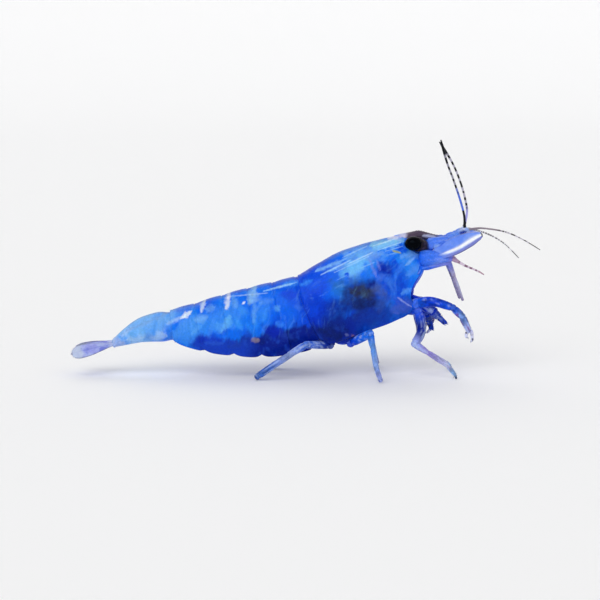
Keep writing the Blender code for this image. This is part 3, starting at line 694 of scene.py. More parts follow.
def profile(share):
    """Across (0 to 1) and up (0 to 1) on a section, from the mid back (share 0) to the lower edge (1)."""
    angle = np.clip(share / BACK, 0, 1) * math.pi / 2
    below = np.clip((share - BACK) / (1 - BACK), 0, None)
    across = np.where(share <= BACK, np.sin(angle), 1 - (1 - LIP) * below**2)
    up = np.where(share <= BACK, WIDEST + (1 - WIDEST) * np.cos(angle), WIDEST * (1 - below))
    return across, up


def on_section(row, up, across):
    """Points at a share of the height of sections, and at a distance from the middle plane."""
    top_x, top_z, low_x, low_z = np.moveaxis(row, -1, 0)[:4]
    x, z = low_x + (top_x - low_x) * up, low_z + (top_z - low_z) * up
    return np.stack(np.broadcast_arrays(x, across, z), -1)


def body_surface(rows, place_at, around):
    """Points of the body at places along its rows and at signed shares around it (below 0 is right)."""
    row = rows_at(rows, place_at)
    across, up = profile(np.abs(around))
    return on_section(row, up, np.sign(around) * across * row[..., 4]), up


def relief(grid, strength=0.014):
    """Faint unevenness of a grown shell."""
    return (strength * cloud(grid.reshape(-1, 3), 0.9, 71, 3)).reshape(grid.shape[:2])[..., None]


def build_carapace():
    """The shield over head and thorax: rounded lower corners, eye notches and a spine below each eye."""
    rear = [(0.0, -0.13), (0.36, -0.26), (0.56, -0.25), (0.68, -0.10), (0.77, 0.07), (0.86, 0.20),
            (0.93, 0.38), (1.0, 0.76)]
    # how far forward the front edge reaches: behind the eye, to the spine beside it, and back to the throat
    front = [
        (0.0, 8.10), (0.06, 8.05), (0.11, 7.88), (0.16, 7.56), (0.22, 7.36), (0.28, 7.44), (0.33, 7.90),
        (0.38, 8.55), (0.42, 8.98), (0.45, 9.12), (0.48, 9.00), (0.52, 8.86), (0.58, 8.60), (0.66, 8.20),
        (0.74, 7.90), (0.82, 7.78), (0.88, 7.86), (0.93, 8.04), (0.97, 7.88), (1.0, 7.40),
    ]
    around = np.linspace(-1, 1, 341)
    share = np.abs(around)
    # the places along the rows at which the shell reaches as far forward as that
    scan = np.linspace(4.0, 7.0, 121)
    ahead_at = body_surface(CARAPACE, scan[:, None], np.tile(around, (len(scan), 1)))[0][..., 0]
    wanted = through(front, share)
    end = np.array([np.interp(wanted[k], ahead_at[:, k], scan) for k in range(len(share))])
    start = through(rear, share)
    place_at = start + (end - start) * crowded(190, 0.6)[:, None]
    grid, up = body_surface(CARAPACE, place_at, np.broadcast_to(around, place_at.shape))
    up = up.ravel()
    middle = np.array([4.0, 0.0, 6.0])
    # a raised rim along the rear and front edges, a groove behind the cheek, and faint unevenness
    reach = distance_to_edge(grid)[..., None]
    rim = 0.018 * np.exp(-((reach - 0.10) / 0.06)**2) - 0.012 * np.exp(-((reach - 0.28) / 0.08)**2)
    flat = grid.reshape(-1, 3)
    groove = brush(flat, (5.9, 9.4), (4.6, 7.4), 0.22, 0.0, 0.9)
    groove = groove + brush(flat, (4.6, 7.4), (6.6, 6.3), 0.2, 0.0, 0.9)
    gill = brush(flat, (0.9, 6.4), (4.4, 6.9), 0.9, 0.0, 1.0)
    flare = brush(flat, (6.9, 5.2), (8.4, 5.3), 0.85, 0.0, 0.95)    # the corner stands out over the leg roots
    swell = (0.05 * gill - 0.045 * groove + 0.26 * flare).reshape(grid.shape[:2])[..., None]
    grid = grid + outward_normals(grid, middle) * (rim + relief(grid) + swell)
    colours = paint_body(grid.reshape(-1, 3), up, CARAPACE_MARKS)
    dark_edge = 1 - ease(reach.ravel(), 0.02, 0.09)
    colours = blend(colours, colours * 0.6, dark_edge * ease(-up, -0.6, -0.25))
    shape = Shape()
    add_plate(shape, grid, 0.14, colours, middle)
    shape.piece("carapace_shell", SHELL, "shell_blue", ["carapace"])


def build_tergite(number):
    """A ring plate of the abdomen. Its rear edge lies over the next plate, and its side lobes are round.

    The second plate's side lobes lie over the first plate as well as over the third.
    """
    rear, front = SOMITES[number]
    length = front - rear
    around = np.linspace(-1, 1, 261)
    share = np.abs(around)
    side = ease(share, 0.50, 0.80)
    back_reach = -0.11 + (0.06 if number == 1 else -0.06) * side
    front_reach = 0.20 + {1: 0.45, 2: -0.10}.get(number, 0.02) * side
    place_at = (rear + back_reach) + (length + front_reach - back_reach) * crowded(84, 0.6)[:, None]
    t = (place_at - rear) / length
    lobe = 0.006 - 0.030 * np.clip(np.abs(2 * t - 1), 0, 1.3)**4
    reach_around = np.broadcast_to(around, place_at.shape) * (1 + lobe * ease(share, BACK, 1.0))
    grid, up = body_surface(ABDOMEN, place_at, reach_around)
    up = up.ravel()
    middle = grid.mean((0, 1)) - np.array([0, 0, 0.8])
    # over the plate behind, and tucked in under the plate ahead just past that plate's rear edge
    near = 1 - 0.13 / length
    lift = 0.005 + 0.065 * np.sin(math.pi * np.clip(t, 0, 1))**0.8 - 0.060 * ease(t, near - 0.04, near + 0.03)
    if number == 2:
        lift = lift + side * (0.075 - lift) * ease(t, 0.45, 0.85)
    if number == 1:
        lift = lift + side * (-0.10 - lift) * (1 - ease(t, 0.1, 0.5))
    reach = distance_to_edge(grid)[..., None]
    bead = 0.010 * np.exp(-((reach - 0.07) / 0.05)**2)
    grid = grid + outward_normals(grid, middle) * (lift[..., None] + bead + relief(grid, 0.010))
    colours = paint_body(grid.reshape(-1, 3), up, ABDOMEN_MARKS)
    rear_line = (1 - ease((t + 0.11).ravel(), 0.0, 0.07)) * ease(up, 0.1, 0.3)
    colours = layers(
        colours,
        (colours * 0.7, rear_line * 0.25),
        (INK, (1 - ease(reach.ravel(), 0.02, 0.10)) * (1 - ease(up, 0.05, 0.25)) * 0.6),
    )
    shape = Shape()
    add_plate(shape, grid, 0.08, colours, middle)
    shape.piece(f"tergite_{number}", SHELL, "shell_blue", [f"abdomen_{number}"])


def build_sixth_somite():
    """The long, narrow last ring of the abdomen, closed all round, with a raised rear rim."""
    rear, front = SOMITES[6]
    place_at = (rear + 0.02 + (front - rear + 0.16) * crowded(120, 0.5))[:, None]
    row = rows_at(ABDOMEN, place_at)
    angle = turns(96)
    up = 0.5 + 0.5 * np.cos(angle)[None]
    across = -row[..., 4] * np.sin(angle) * (1 - 0.12 * np.cos(angle))
    t = (place_at - rear) / (front - rear)
    lift = 0.03 - 0.16 * ease(t, 0.72, 1.0) + 0.03 * np.exp(-((t - 0.03) / 0.02)**2)
    grid = on_section(row, up, across)
    outward = np.stack([0 * angle, -np.sin(angle), np.cos(angle)], -1)
    grid = grid + outward * (lift[..., None] + relief(grid, 0.012))
    colours = paint_body(grid.reshape(-1, 3), np.broadcast_to(up, across.shape).ravel(), ABDOMEN_MARKS)
    shape = Shape()
    add_rings(shape, grid, grid[[0, -1]].mean(1), colours)
    shape.piece("tergite_6", SHELL, "shell_blue", ["abdomen_6"])


def build_rostrum():
    """The beak: a keel with a saw edge that rises from the back between the eyes."""
    # x, height of the upper edge, height of the lower edge, half width
    stations = [
        (6.60, 10.40, 9.95, 0.10), (7.10, 10.54, 9.95, 0.34), (7.65, 10.64, 9.98, 0.50),
        (8.05, 10.72, 10.02, 0.46), (8.45, 10.77, 10.08, 0.36), (9.00, 10.64, 10.10, 0.27),
        (9.60, 10.48, 10.12, 0.21), (10.20, 10.40, 10.16, 0.14), (10.70, 10.33, 10.24, 0.04),
    ]
    x, top, low, half = rows_at(stations, np.linspace(0, len(stations) - 1, 150)).T[..., None]
    angle = turns(28)
    keel = np.sign(np.cos(angle)) * np.abs(np.cos(angle))**1.5
    wide = np.sign(np.sin(angle)) * np.abs(np.sin(angle))**1.15
    teeth = (((x - 7.9) * 5.2) % 1.0) * ease(x, 7.9, 8.1) * (1 - ease(x, 10.25, 10.45)) * 0.034
    crest = np.clip(np.cos(angle) - 0.86, 0, 1) / 0.14
    height = (top + low) / 2 + ((top - low) / 2) * keel + teeth * crest
    grid = np.stack(np.broadcast_arrays(x, half * wide, height), -1)
    flat = grid.reshape(-1, 3)
    x, z = flat[:, 0], flat[:, 2]
    colours = layers(
        mottled(flat, BROWN, LILAC_GREY, 0.5, 81, 0.0, 0.8, 0.6),
        # the pale streak on the side of the beak, over the eye, is a painted highlight
        ((190, 196, 224), brush(flat, (8.7, 10.40), (9.6, 10.34), 0.13, 0.3, 0.8) * 0.8),
        (DARK_BROWN, ease(-z + 0.12 * noise(flat, 0.4, 82), -10.26, -10.10) * 0.75),
        ((104, 140, 234), ease(x, 9.5, 10.2) * 0.85),
        ((196, 198, 230), (1 - ease(x + 0.1 * noise(flat, 0.3, 83), 7.30, 7.62)) * 0.95),
        ((110, 150, 234), (1 - ease(x, 6.7, 7.2)) * 0.9),
        (DARK_BROWN, np.tile(crest, len(grid)) * 0.5 * ease(x, 7.9, 8.3)),
    )
    shape = Shape()
    add_rings(shape, grid, grid[[0, -1]].mean(1), colours)
    shape.piece("rostrum_keel", BEAK, "rostrum_brown", ["rostrum"])


# ---------------------------------------------------------------- limbs

# Joints of each leg, root to tip: x, distance from the middle plane, z; and a radius for each joint.
LEGS = {
    ("1", "right"): ([(7.78, 0.43, 5.72), (8.60, 0.62, 5.50), (9.35, 0.84, 5.00), (9.68, 0.95, 4.66),
                      (9.96, 1.00, 4.40)], [0.32, 0.42, 0.38, 0.33, 0.26]),
    ("1", "left"): ([(7.78, 0.43, 5.72), (8.50, 0.60, 5.30), (9.06, 0.80, 4.60), (9.24, 0.90, 4.16),
                     (9.36, 0.95, 3.80)], [0.32, 0.42, 0.38, 0.33, 0.26]),
    ("2", "right"): ([(7.55, 0.90, 5.24), (8.20, 1.14, 5.50), (9.40, 1.50, 5.68), (10.86, 1.78, 5.28),
                      (11.52, 1.86, 4.66), (12.06, 1.90, 3.56)], [0.34, 0.40, 0.36, 0.27, 0.27, 0.21]),
    ("2", "left"): ([(7.55, 0.90, 5.16), (8.20, 1.14, 5.32), (9.10, 1.50, 5.20), (9.56, 1.70, 4.66),
                     (9.64, 1.76, 4.20), (9.50, 1.80, 3.56)], [0.34, 0.40, 0.37, 0.31, 0.28, 0.20]),
    ("3", "right"): ([(7.34, 0.60, 4.88), (8.34, 0.92, 4.98), (8.62, 1.20, 3.60), (8.12, 1.30, 2.52),
                      (8.95, 1.48, 1.98), (10.46, 1.90, 1.02), (11.00, 2.12, 0.40), (11.14, 2.19, 0.05)],
                     [0.27, 0.37, 0.37, 0.29, 0.20, 0.165, 0.15, 0.06]),
    ("3", "left"): ([(7.34, 0.60, 4.84), (8.34, 0.92, 4.90), (8.76, 1.25, 3.00), (8.30, 1.30, 2.10),
                     (9.10, 1.45, 1.50), (10.60, 1.75, 0.62), (10.96, 1.93, 0.32), (11.16, 2.00, 0.05)],
                    [0.27, 0.37, 0.37, 0.29, 0.20, 0.165, 0.15, 0.06]),
    ("4", "right"): ([(3.60, 0.80, 3.95), (3.40, 1.15, 2.55), (4.78, 2.50, 3.47), (4.96, 2.70, 2.50),
                      (5.18, 3.20, 1.22), (5.44, 3.66, 0.42), (5.54, 3.80, 0.12)],
                     [0.34, 0.33, 0.30, 0.20, 0.17, 0.18, 0.15]),
    ("4", "left"): ([(3.60, 0.80, 3.95), (3.40, 1.15, 2.50), (4.88, 2.46, 3.00), (5.16, 2.66, 2.00),
                     (5.38, 3.20, 0.96), (5.54, 3.64, 0.40), (5.62, 3.80, 0.12)],
                    [0.34, 0.33, 0.30, 0.20, 0.17, 0.18, 0.15]),
    ("5", "right"): ([(2.30, 0.70, 3.60), (1.90, 1.35, 2.42), (0.10, 2.72, 2.70), (-1.06, 2.68, 1.97),
                      (-2.90, 2.54, 0.68), (-3.36, 2.48, 0.36), (-3.62, 2.46, 0.15)],
                     [0.30, 0.29, 0.27, 0.24, 0.25, 0.24, 0.18]),
    ("5", "left"): ([(2.30, 0.70, 3.60), (1.90, 1.35, 2.36), (0.40, 2.66, 2.12), (-0.72, 2.60, 1.28),
                     (-1.92, 2.42, 0.50), (-2.28, 2.34, 0.34), (-2.54, 2.30, 0.15)],
                    [0.30, 0.29, 0.27, 0.24, 0.25, 0.24, 0.18]),
}
# The joints between which the pieces of each leg run.
ARTICLES = {
    "1": [(0, 1), (1, 2), (2, 3), (3, 4)],
    "2": [(0, 1), (1, 3), (3, 4), (4, 5)],
    "3": [(0, 1), (1, 3), (3, 4), (4, 5), (5, 7)],
    "4": [(0, 1), (1, 2), (2, 3), (3, 5), (5, 6)],
    "5": [(0, 1), (1, 2), (2, 3), (3, 5), (5, 6)],
}
# Colours along each leg, one for each joint.
LEG_COLOURS = {
    "1": [ROYAL, ROYAL, (4, 50, 196), DEEP, (20, 60, 176)],
    "2": [ROYAL, (20, 92, 234), ROYAL, (20, 84, 226), (110, 150, 232), (176, 186, 236)],
    "3": [DEEP, (24, 78, 226), NAVY, (150, 164, 234), (150, 140, 216), (178, 178, 222), (140, 180, 232),
          INK],
    "4": [ROYAL, ROYAL, AZURE, (96, 150, 232), (128, 160, 226), (140, 152, 218), (120, 130, 200)],
    "5": [DEEP, NAVY, (60, 104, 214), (140, 160, 222), (70, 114, 208), (64, 108, 196), (50, 80, 160)],
}
# The two fingers of each pincer: which side of the hand, and how far it reaches past the wrist.
PINCERS = {"1": ((1, 0.62), (-1, 0.70)), "2": ((1, 0.50), (-1, 0.80))}


def add_article(shape, joints, radii, first, last, paint, around, flat, cuff=0.06, swell=0.05):
    """One piece of a limb: narrow where it leaves the joint before, with a cuff at its far end."""
    path = smooth_path(joints[first:last + 1], 40, 0.9)
    start, end = radii[first], radii[last]
    t = crowded(len(path), 0.9)
    length = np.linalg.norm(np.diff(path, axis=0), axis=1).sum()
    body = (start + (end - start) * t) * (0.80 + 0.20 * ease(t, 0.0, 0.25) + swell * np.sin(math.pi * t))
    body = body * (1 + cuff * np.exp(-((t - 0.93) / 0.04)**2) + 0.07 * noise(path, 0.45, 7))
    for room, radius in ((t, start), (1 - t, end)):
        near = np.clip(room * length / (0.7 * radius), 0, 1)
        body = body * np.sqrt(np.maximum(1 - (1 - near)**2, 0.01))
    add_tube(shape, path, body, paint, around, flat)


def leg_tint(colours, joints, seed, mottle, blush=None):
    """Paints a limb: its joints' colours blended along it, with cloudy mottling and streaks lengthwise."""
    joints = np.asarray(joints, float)
    listed = np.array([tint(colour) for colour in colours])

    def paint(points):
        best = np.full(len(points), 1e9)
        place_at, off = np.zeros(len(points)), np.zeros(len(points))
        for k, (joint, run) in enumerate(zip(joints, np.diff(joints, axis=0))):
            away = points - joint
            t = np.clip(away @ run / (run @ run), 0, 1)
            gap = np.linalg.norm(away - t[:, None] * run, axis=1)
            closer = gap < best
            best = np.where(closer, gap, best)
            place_at = np.where(closer, k + t, place_at)
            off = np.where(closer, (away[:, 2] * run[0] - away[:, 0] * run[2]) / np.linalg.norm(run), off)
        index = np.clip(np.floor(place_at).astype(int), 0, len(joints) - 2)
        colours = blend(listed[index], listed[index + 1], ease(place_at - index, 0.1, 0.9))
        much = mottle * (0.35 + 0.65 * ease(place_at, 0.8, 1.8))        # the roots are plainer
        patch = cloud(points, 0.34, seed, 3)
        colours = blend(colours, colours * 0.45, ease(patch, 0.1, 0.7) * much)
        colours = blend(colours, ICE, ease(-patch, 0.3, 0.9) * much * 0.5)
        streak = cloud(np.stack([place_at * 1.3, off * 7, points[:, 1] * 5], 1), 1.0, seed + 1, 3)
        colours = blend(colours, colours * 0.5, ease(streak, 0.10, 0.6) * (0.15 + 0.7 * much))
        colours = blend(colours, (198, 216, 246), ease(-streak, 0.20, 0.7) * (0.08 + 0.6 * much))
        if blush:
            line = noise(np.stack([place_at * 2.5, off * 11, points[:, 1] * 6], 1), 1.0, seed + 2)
            colours = blend(colours, blush, ease(line, 0.25, 0.6) * ease(place_at, 2.6, 3.2) * 0.75)
        return colours

    return paint


def build_leg(number, word):
    joints, radii = LEGS[number, word]
    joints = sided(joints, SIDES[word])
    listed = LEG_COLOURS[number]
    if (number, word) == ("2", "left"):
        listed = listed[:3] + [DEEP, NAVY, DEEP]
    seed = 100 + int(number) * 7 + (word == "left") * 3
    pied = number == "2"
    paint = leg_tint(listed, joints, seed, 0.85 if pied else 0.6, (110, 60, 150) if pied else None)
    shape = Shape()
    for first, last in ARTICLES[number]:
        swell = 0.5 if (number, last) == ("3", 7) else 0.05
        add_article(shape, joints, radii, first, last, paint, 20, 0.90, swell=swell)
    for _, joint in ARTICLES[number][:-1]:
        ball = np.eye(3) * (radii[joint] * 0.97)
        add_ellipsoid(shape, joints[joint], ball, lambda points: blend(paint(points), ICE, 0.08))
    if number in PINCERS:
        add_pincer(shape, joints, paint, number)
    shape.piece(f"leg_{number}_{word}_shell", LIMB, "leg_blue", [f"leg_{number}_{word}"])
    return joints, radii


def hand_ways(joints, number):
    """Which way a pincer points, hanging on the second pair, and which way its fingers spread."""
    way = unit(joints[-1] - joints[-2])
    if number == "2":
        way = unit(way + np.array([-0.42, 0, 0]))
    return way, unit(np.cross([0, 1, 0], way))


def add_pincer(shape, joints, paint, number):
    """Two curved fingers on the end of a leg."""
    wrist = joints[-1]
    way, spread = hand_ways(joints, number)
    closed = number == "1"
    thick, gape, tip_tint = (0.19, 0.24, (10, 50, 172)) if closed else (0.17, 0.9, (214, 216, 238))

    def finger(points):
        far = np.linalg.norm(points - wrist, axis=1)
        spots = ease(noise(points, 0.15, 77), 0.25, 0.5) * ease(far, 0.1, 0.3)
        return layers(paint(points), (tip_tint, 0.85 * ease(far, 0.05, 0.35)), ((20, 22, 60), spots * 0.85))

    for turn, reach in PINCERS[number]:
        bow = spread * turn * gape
        route = [wrist - way * 0.10 + spread * turn * 0.07, wrist + way * 0.20 + bow * 0.22,
                 wrist + way * reach * 0.75 + bow * 0.24, wrist + way * reach + bow * 0.13]
        sizes = (thick - 0.09 * np.linspace(0, 1, 30)) * rounded(30, 0.1, 0.12)
        add_tube(shape, smooth_path(route, 30, 0.6), sizes, finger, 16, 0.8)


def build_leg_bristles(built):
    """Short hairs along the outer pieces of the legs, and tufts on the pincers."""
    rng = np.random.default_rng(5)
    shape = Shape()
    for (number, _), (joints, radii) in built.items():
        first = {"1": 3, "2": 4, "3": 4, "4": 3, "5": 3}[number]
        last = len(joints) - 1
        count = 26 if number in PINCERS else 44
        t = rng.uniform(0.05, 0.92, count) * (last - first) + first
        middle = rows_at(joints, t)
        ahead = unit(rows_at(joints, np.minimum(t + 0.05, last)) - middle)
        angle = rng.uniform(0, 2 * math.pi, count)[:, None]
        side = unit(np.cross(ahead, [0.2, 0.9, 0.3]))
        out = side * np.cos(angle) + np.cross(ahead, side) * np.sin(angle)
        lengths = rng.uniform(0.10, 0.20, count)
        roots = middle + out * rows_at(radii, t)[:, :1] * 0.9
        high = roots[:, 2] > 0.22           # none where the foot meets the floor
        ways = out * 0.75 + ahead * 0.8
        add_bristles(shape, roots[high], ways[high], lengths[high], 0.008, (150, 160, 176))
        for turn, reach in PINCERS.get(number, ()):
            way, spread = hand_ways(joints, number)
            tip = joints[-1] + way * reach * 0.95 + spread * turn * 0.10
            tuft = (90, 110, 190) if number == "1" else (176, 180, 206)
            add_tuft(shape, rng, tip, way, 22, 0.35, 0.03, (0.06, 0.13), 0.007, tuft)
    shape.piece("leg_bristles", HAIR, "leg_blue", coat=True)


def add_tuft(shape, rng, tip, way, count, spread, loose, lengths, width, colour):
    """Hairs that fan out round one tip. spread and loose are how far their ways and roots stray."""
    fan = way + rng.normal(0, spread, (count, 3))
    starts = tip + rng.normal(0, loose, (count, 3))
    add_bristles(shape, starts, fan, rng.uniform(*lengths, count), width, colour)


def build_maxilliped(word):
    """The third mouth leg: up along the throat, forward under the head, and its last piece hanging."""
    joints = sided({
        "right": [(7.52, 0.90, 6.20), (7.84, 0.92, 6.98), (8.60, 1.00, 8.13), (10.60, 1.00, 8.56),
                  (10.98, 1.00, 7.52), (11.66, 1.00, 5.68)],
        "left": [(7.56, 0.90, 6.15), (7.88, 0.92, 6.88), (8.62, 1.00, 8.00), (10.64, 1.00, 8.32),
                 (11.00, 1.00, 7.28), (11.62, 1.00, 5.56)],
    }[word], SIDES[word])
    radii = [0.34, 0.34, 0.27, 0.19, 0.13, 0.10]
    listed = [DEEP, ROYAL, (24, 100, 236), (120, 130, 222), (160, 152, 188), (146, 136, 170)]
    paint = leg_tint(listed, joints, 151, 0.3)
    shape = Shape()
    for first, last in ((0, 2), (2, 3), (3, 4), (4, 5)):
        add_article(shape, joints, radii, first, last, paint, 18, 0.85, 0.03)
    for joint in (2, 3, 4):
        add_ellipsoid(shape, joints[joint], np.eye(3) * radii[joint] * 0.99, paint)
    shape.piece(f"maxilliped_{word}_shell", LIMB, "mouth_leg_lilac", [f"maxilliped_{word}"])


# Folded palps beside the mouth: route, and radii at root and tip.
PALPS = (
    ([(8.26, 0.28, 7.26), (8.50, 0.33, 7.62), (8.72, 0.20, 7.96)], 0.17, 0.10),
    ([(8.02, 0.52, 6.80), (8.40, 0.66, 7.36), (8.66, 0.58, 7.84), (8.62, 0.34, 7.98), (8.52, 0.20, 7.66)],
     0.18, 0.09),
    ([(7.80, 0.40, 6.30), (8.12, 0.36, 6.84), (8.34, 0.22, 7.24)], 0.18, 0.10),
    ([(8.06, 0.74, 7.00), (8.46, 0.88, 7.66), (8.86, 0.80, 8.28)], 0.07, 0.03),
)


def build_mouth(hairs):
    """Lip, jaws and folded palps between the throat and the third mouth legs."""
    shape = Shape()

    def lip(points):
        return mottled(points, (70, 116, 226), ICE, 0.2, 155, 0.1, 0.8, 0.5)

    def jaw(points):
        return blend((110, 126, 206), TAN, 1 - ease(np.abs(points[:, 1]), 0.05, 0.20))

    add_ellipsoid(shape, [8.98, 0, 8.44], [(0.22, 0, 0.14), (0, 0.30, 0), (-0.12, 0, 0.22)], lip)
    for side in SIDES.values():
        add_ellipsoid(shape, [8.84, side * 0.23, 8.14], [(0.20, 0, 0.05), (0, 0.22, 0), (-0.06, 0, 0.25)],
                      jaw, 18, 24)
        for number, (route, wide, narrow) in enumerate(PALPS):
            route = sided(route, side)
            listed = [(40, 92, 224), (104, 128, 228)] * (len(route) // 2) + [(170, 172, 226)]
            path = smooth_path(route, 40, 0.4)
            add_tube(shape, path, np.linspace(wide, narrow, 40) * rounded(40, 0.08, 0.12),
                     leg_tint(listed, route, 160 + number, 0.3), 18, 0.8)
            add_tuft(hairs, np.random.default_rng(60 + number), path[-4:].mean(0), unit(path[-1] - path[-8]),
                     60, 0.4, narrow * 0.35, (0.07, 0.14), 0.005, (170, 180, 226))
    shape.piece("mouth_palps", LIMB, "mouth_leg_lilac")


# ---------------------------------------------------------------- eyes and feelers

EYE_CENTRE = (7.97, 1.20, 9.94)
EYE_RADIUS = 0.60
EYESTALK_ROOT = (8.98, 0.60, 9.66)


def build_eye(word):
    side = SIDES[word]
    centre, root = sided([EYE_CENTRE, EYESTALK_ROOT], side)
    way = unit(root - centre)
    globe = Shape()
    add_ellipsoid(globe, centre, EYE_RADIUS * np.diag([1.05, 1.0, 0.89]), BLACK, 48, 64)
    globe.piece(f"eye_{word}_globe", EYE, "eye_black", [f"eye_{word}"])

    def paint(points):
        colours = mottled(points, DARK_BROWN, BROWN, 0.3, 91, 0.0, 0.7, 0.6)
        return blend(colours, (70, 110, 210), ease(points[:, 0], 8.9, 9.2) * 0.6)

    stalk = Shape()
    route = [centre + way * 0.25, centre + way * 0.62,
             root + [-0.1, 0, 0], root + [0.15, -side * 0.25, -0.15]]
    sizes = through([(0, 0.40), (0.18, 0.53), (0.4, 0.46), (0.7, 0.38), (1, 0.34)], np.linspace(0, 1, 40))
    add_tube(stalk, smooth_path(route, 40, 0.5), sizes * rounded(40, 0.05, 0.1), paint, 28)
    stalk.piece(f"eyestalk_{word}_shell", BEAK, "eyestalk_brown", [f"eyestalk_{word}"])


STEM = [(8.90, 0.46, 9.72), (9.35, 0.50, 9.80), (10.48, 0.50, 10.02), (11.21, 0.50, 10.38),
        (11.82, 0.50, 10.76)]
# Radii along each kind of whip: share of its length, radius.
WHIP_RADII = {
    "up": [(0, 0.115), (0.12, 0.09), (0.7, 0.075), (0.92, 0.10), (1, 0.05)],
    "front": [(0, 0.10), (0.2, 0.07), (1, 0.035)],
    "antenna": [(0, 0.15), (0.10, 0.17), (0.22, 0.10), (1, 0.045)],
}
# Each whip: its route; its light and dark colours, and those of its root and tip; the width of its bands;
# the share of them that is dark; its seed; and how far from the root it is all dark, and then plain.
WHIPS = {
    ("up", "right"): (
        [(11.76, 0.50, 11.00), (11.76, 0.50, 11.22), (11.70, 0.54, 11.97), (11.39, 0.66, 13.08),
         (10.86, 0.86, 14.57), (10.33, 1.06, 15.92), (9.87, 1.28, 17.50)],
        ((150, 148, 164), (20, 18, 24), (88, 116, 218), BLACK), 0.51, 0.56, 3, 0.19, 0.40),
    ("up", "left"): (
        [(11.80, 0.50, 11.00), (11.86, 0.50, 11.22), (12.02, 0.54, 12.09), (11.90, 0.64, 12.97),
         (11.54, 0.84, 14.27), (10.93, 1.04, 15.71), (9.98, 1.28, 17.24)],
        ((176, 172, 190), (16, 14, 18), (176, 174, 238), BLACK), 0.51, 0.56, 5, 0.05, 0.20),
    ("front", "right"): (
        [(11.95, 0.50, 10.85), (12.26, 0.50, 10.93), (13.07, 0.80, 11.02), (14.64, 1.20, 10.80),
         (15.95, 1.60, 10.25), (17.12, 2.00, 9.56)],
        ((190, 186, 198), (66, 58, 60), (140, 128, 138), (80, 72, 74)), 0.34, 0.5, 7, 0.0, 0.40),
    ("front", "left"): (
        [(11.95, 0.50, 10.80), (12.26, 0.50, 10.86), (13.18, 0.80, 10.60), (14.08, 1.00, 10.21),
         (15.04, 1.30, 9.56), (16.05, 1.60, 8.56)],
        ((222, 220, 228), (112, 106, 110), (176, 170, 178), (110, 104, 108)), 0.20, 0.5, 9, 0.0, 0.14),
    ("antenna", "right"): (
        [(10.80, 1.12, 8.78), (11.05, 1.13, 8.70), (11.70, 1.20, 8.34), (12.69, 1.40, 7.92),
         (13.12, 1.50, 7.68)],
        ((214, 196, 214), PINK_BROWN, (178, 150, 178), (180, 144, 160)), 0.34, 0.42, 11, 0.0, 0.20),
    ("antenna", "left"): (
        [(10.80, 1.12, 8.76), (11.08, 1.13, 8.64), (11.86, 1.20, 8.11), (12.99, 1.40, 7.60),
         (13.46, 1.50, 7.30)],
        ((214, 196, 214), PINK_BROWN, (178, 150, 178), (180, 144, 160)), 0.34, 0.42, 13, 0.0, 0.20),
}


def build_whip(kind, word, name, slot, node):
    """A feeler of many short rings, each ring a little wider at its far end, in uneven bands of colour."""
    route, (light, dark, base, tip), band, dark_share, seed, root_dark, plain = WHIPS[kind, word]
    route = sided(route, SIDES[word])
    length = np.linalg.norm(np.diff(route, axis=0), axis=1).sum()
    rings = int(length / 0.11)
    count = rings * 5 + 1
    t = np.linspace(0, 1, count)
    sizes = through(WHIP_RADII[kind], t) * (0.90 + 0.14 * ((t * rings) % 1.0))
    sizes[[0, -1]] *= 0.3
    along = np.stack([t * length, np.full(count, 7.3), np.full(count, seed)], 1)
    place_at = t * length / band + 1.1 * noise(along, band * 1.9, 300 + seed)
    cut = dark_share + 0.40 * noise(along, band * 1.3, 310 + seed)
    banded = ease(cut - np.abs((place_at % 1.0) - 0.5) * 2, -0.06, 0.06)
    all_dark = 1 - ease(t, root_dark, root_dark + 0.01) if root_dark else 0 * t
    tints = layers(
        light,
        (base, 1 - ease(t, plain - 0.02, plain + 0.10)),
        (dark, all_dark),
        (dark, banded * ease(t, plain - 0.05, plain + 0.05)),
        (tip, ease(t, 0.80, 0.88)),
    )
    whip = Shape()
    add_tube(whip, smooth_path(route, count), sizes, tints, 12)
    whip.piece(name, WHIP, slot, [node])


def build_antennule(word):
    """The first feeler: a stem in three parts with a side spine, and two whips."""
    stem = sided(STEM, SIDES[word])
    listed = [(60, 112, 234), (72, 122, 238), (76, 122, 236), (88, 136, 236), (150, 176, 236)]
    shape = Shape()

    def paint(points):
        return layers(
            leg_tint(listed, stem, 161, 0.10)(points),
            # the pale round mark on the first piece of the stem is a painted highlight
            ((150, 184, 242), brush(points, (9.60, 9.56), (9.76, 9.70), 0.20, 0.2, 0.9, 5) * 0.75),
            ((14, 44, 150), brush(points, (11.38, 10.64), (11.82, 10.74), 0.17, 0.3, 0.8, 6)),
            ((196, 208, 240), brush(points, (11.28, 10.98), (11.80, 11.04), 0.13, 0.2, 0.7, 7) * 0.9),
        )

    for first, last, wide, narrow in ((0, 2, 0.50, 0.42), (2, 3, 0.42, 0.37), (3, 4, 0.36, 0.31)):
        add_article(shape, stem, {first: wide, last: narrow}, first, last, paint, 26, 0.95, 0.03)
    for joint, radius in ((2, 0.41), (3, 0.37), (4, 0.31)):
        add_ellipsoid(shape, stem[joint], np.eye(3) * radius, paint)
    spine = sided([(9.5, 0.86, 9.62), (9.9, 0.98, 9.82), (10.35, 0.90, 10.08)], SIDES[word])
    add_tube(shape, smooth_path(spine, 20, 0.5), np.linspace(0.13, 0.02, 20), paint, 12)
    shape.piece(f"antennule_{word}_stem", LIMB, "feeler_base_blue", [f"antennule_{word}"])
    for kind in ("up", "front"):
        name = f"antennule_{word}_whip_{kind}_rings"
        build_whip(kind, word, name, "whip_grey", f"antennule_whip_{kind}_{word}")


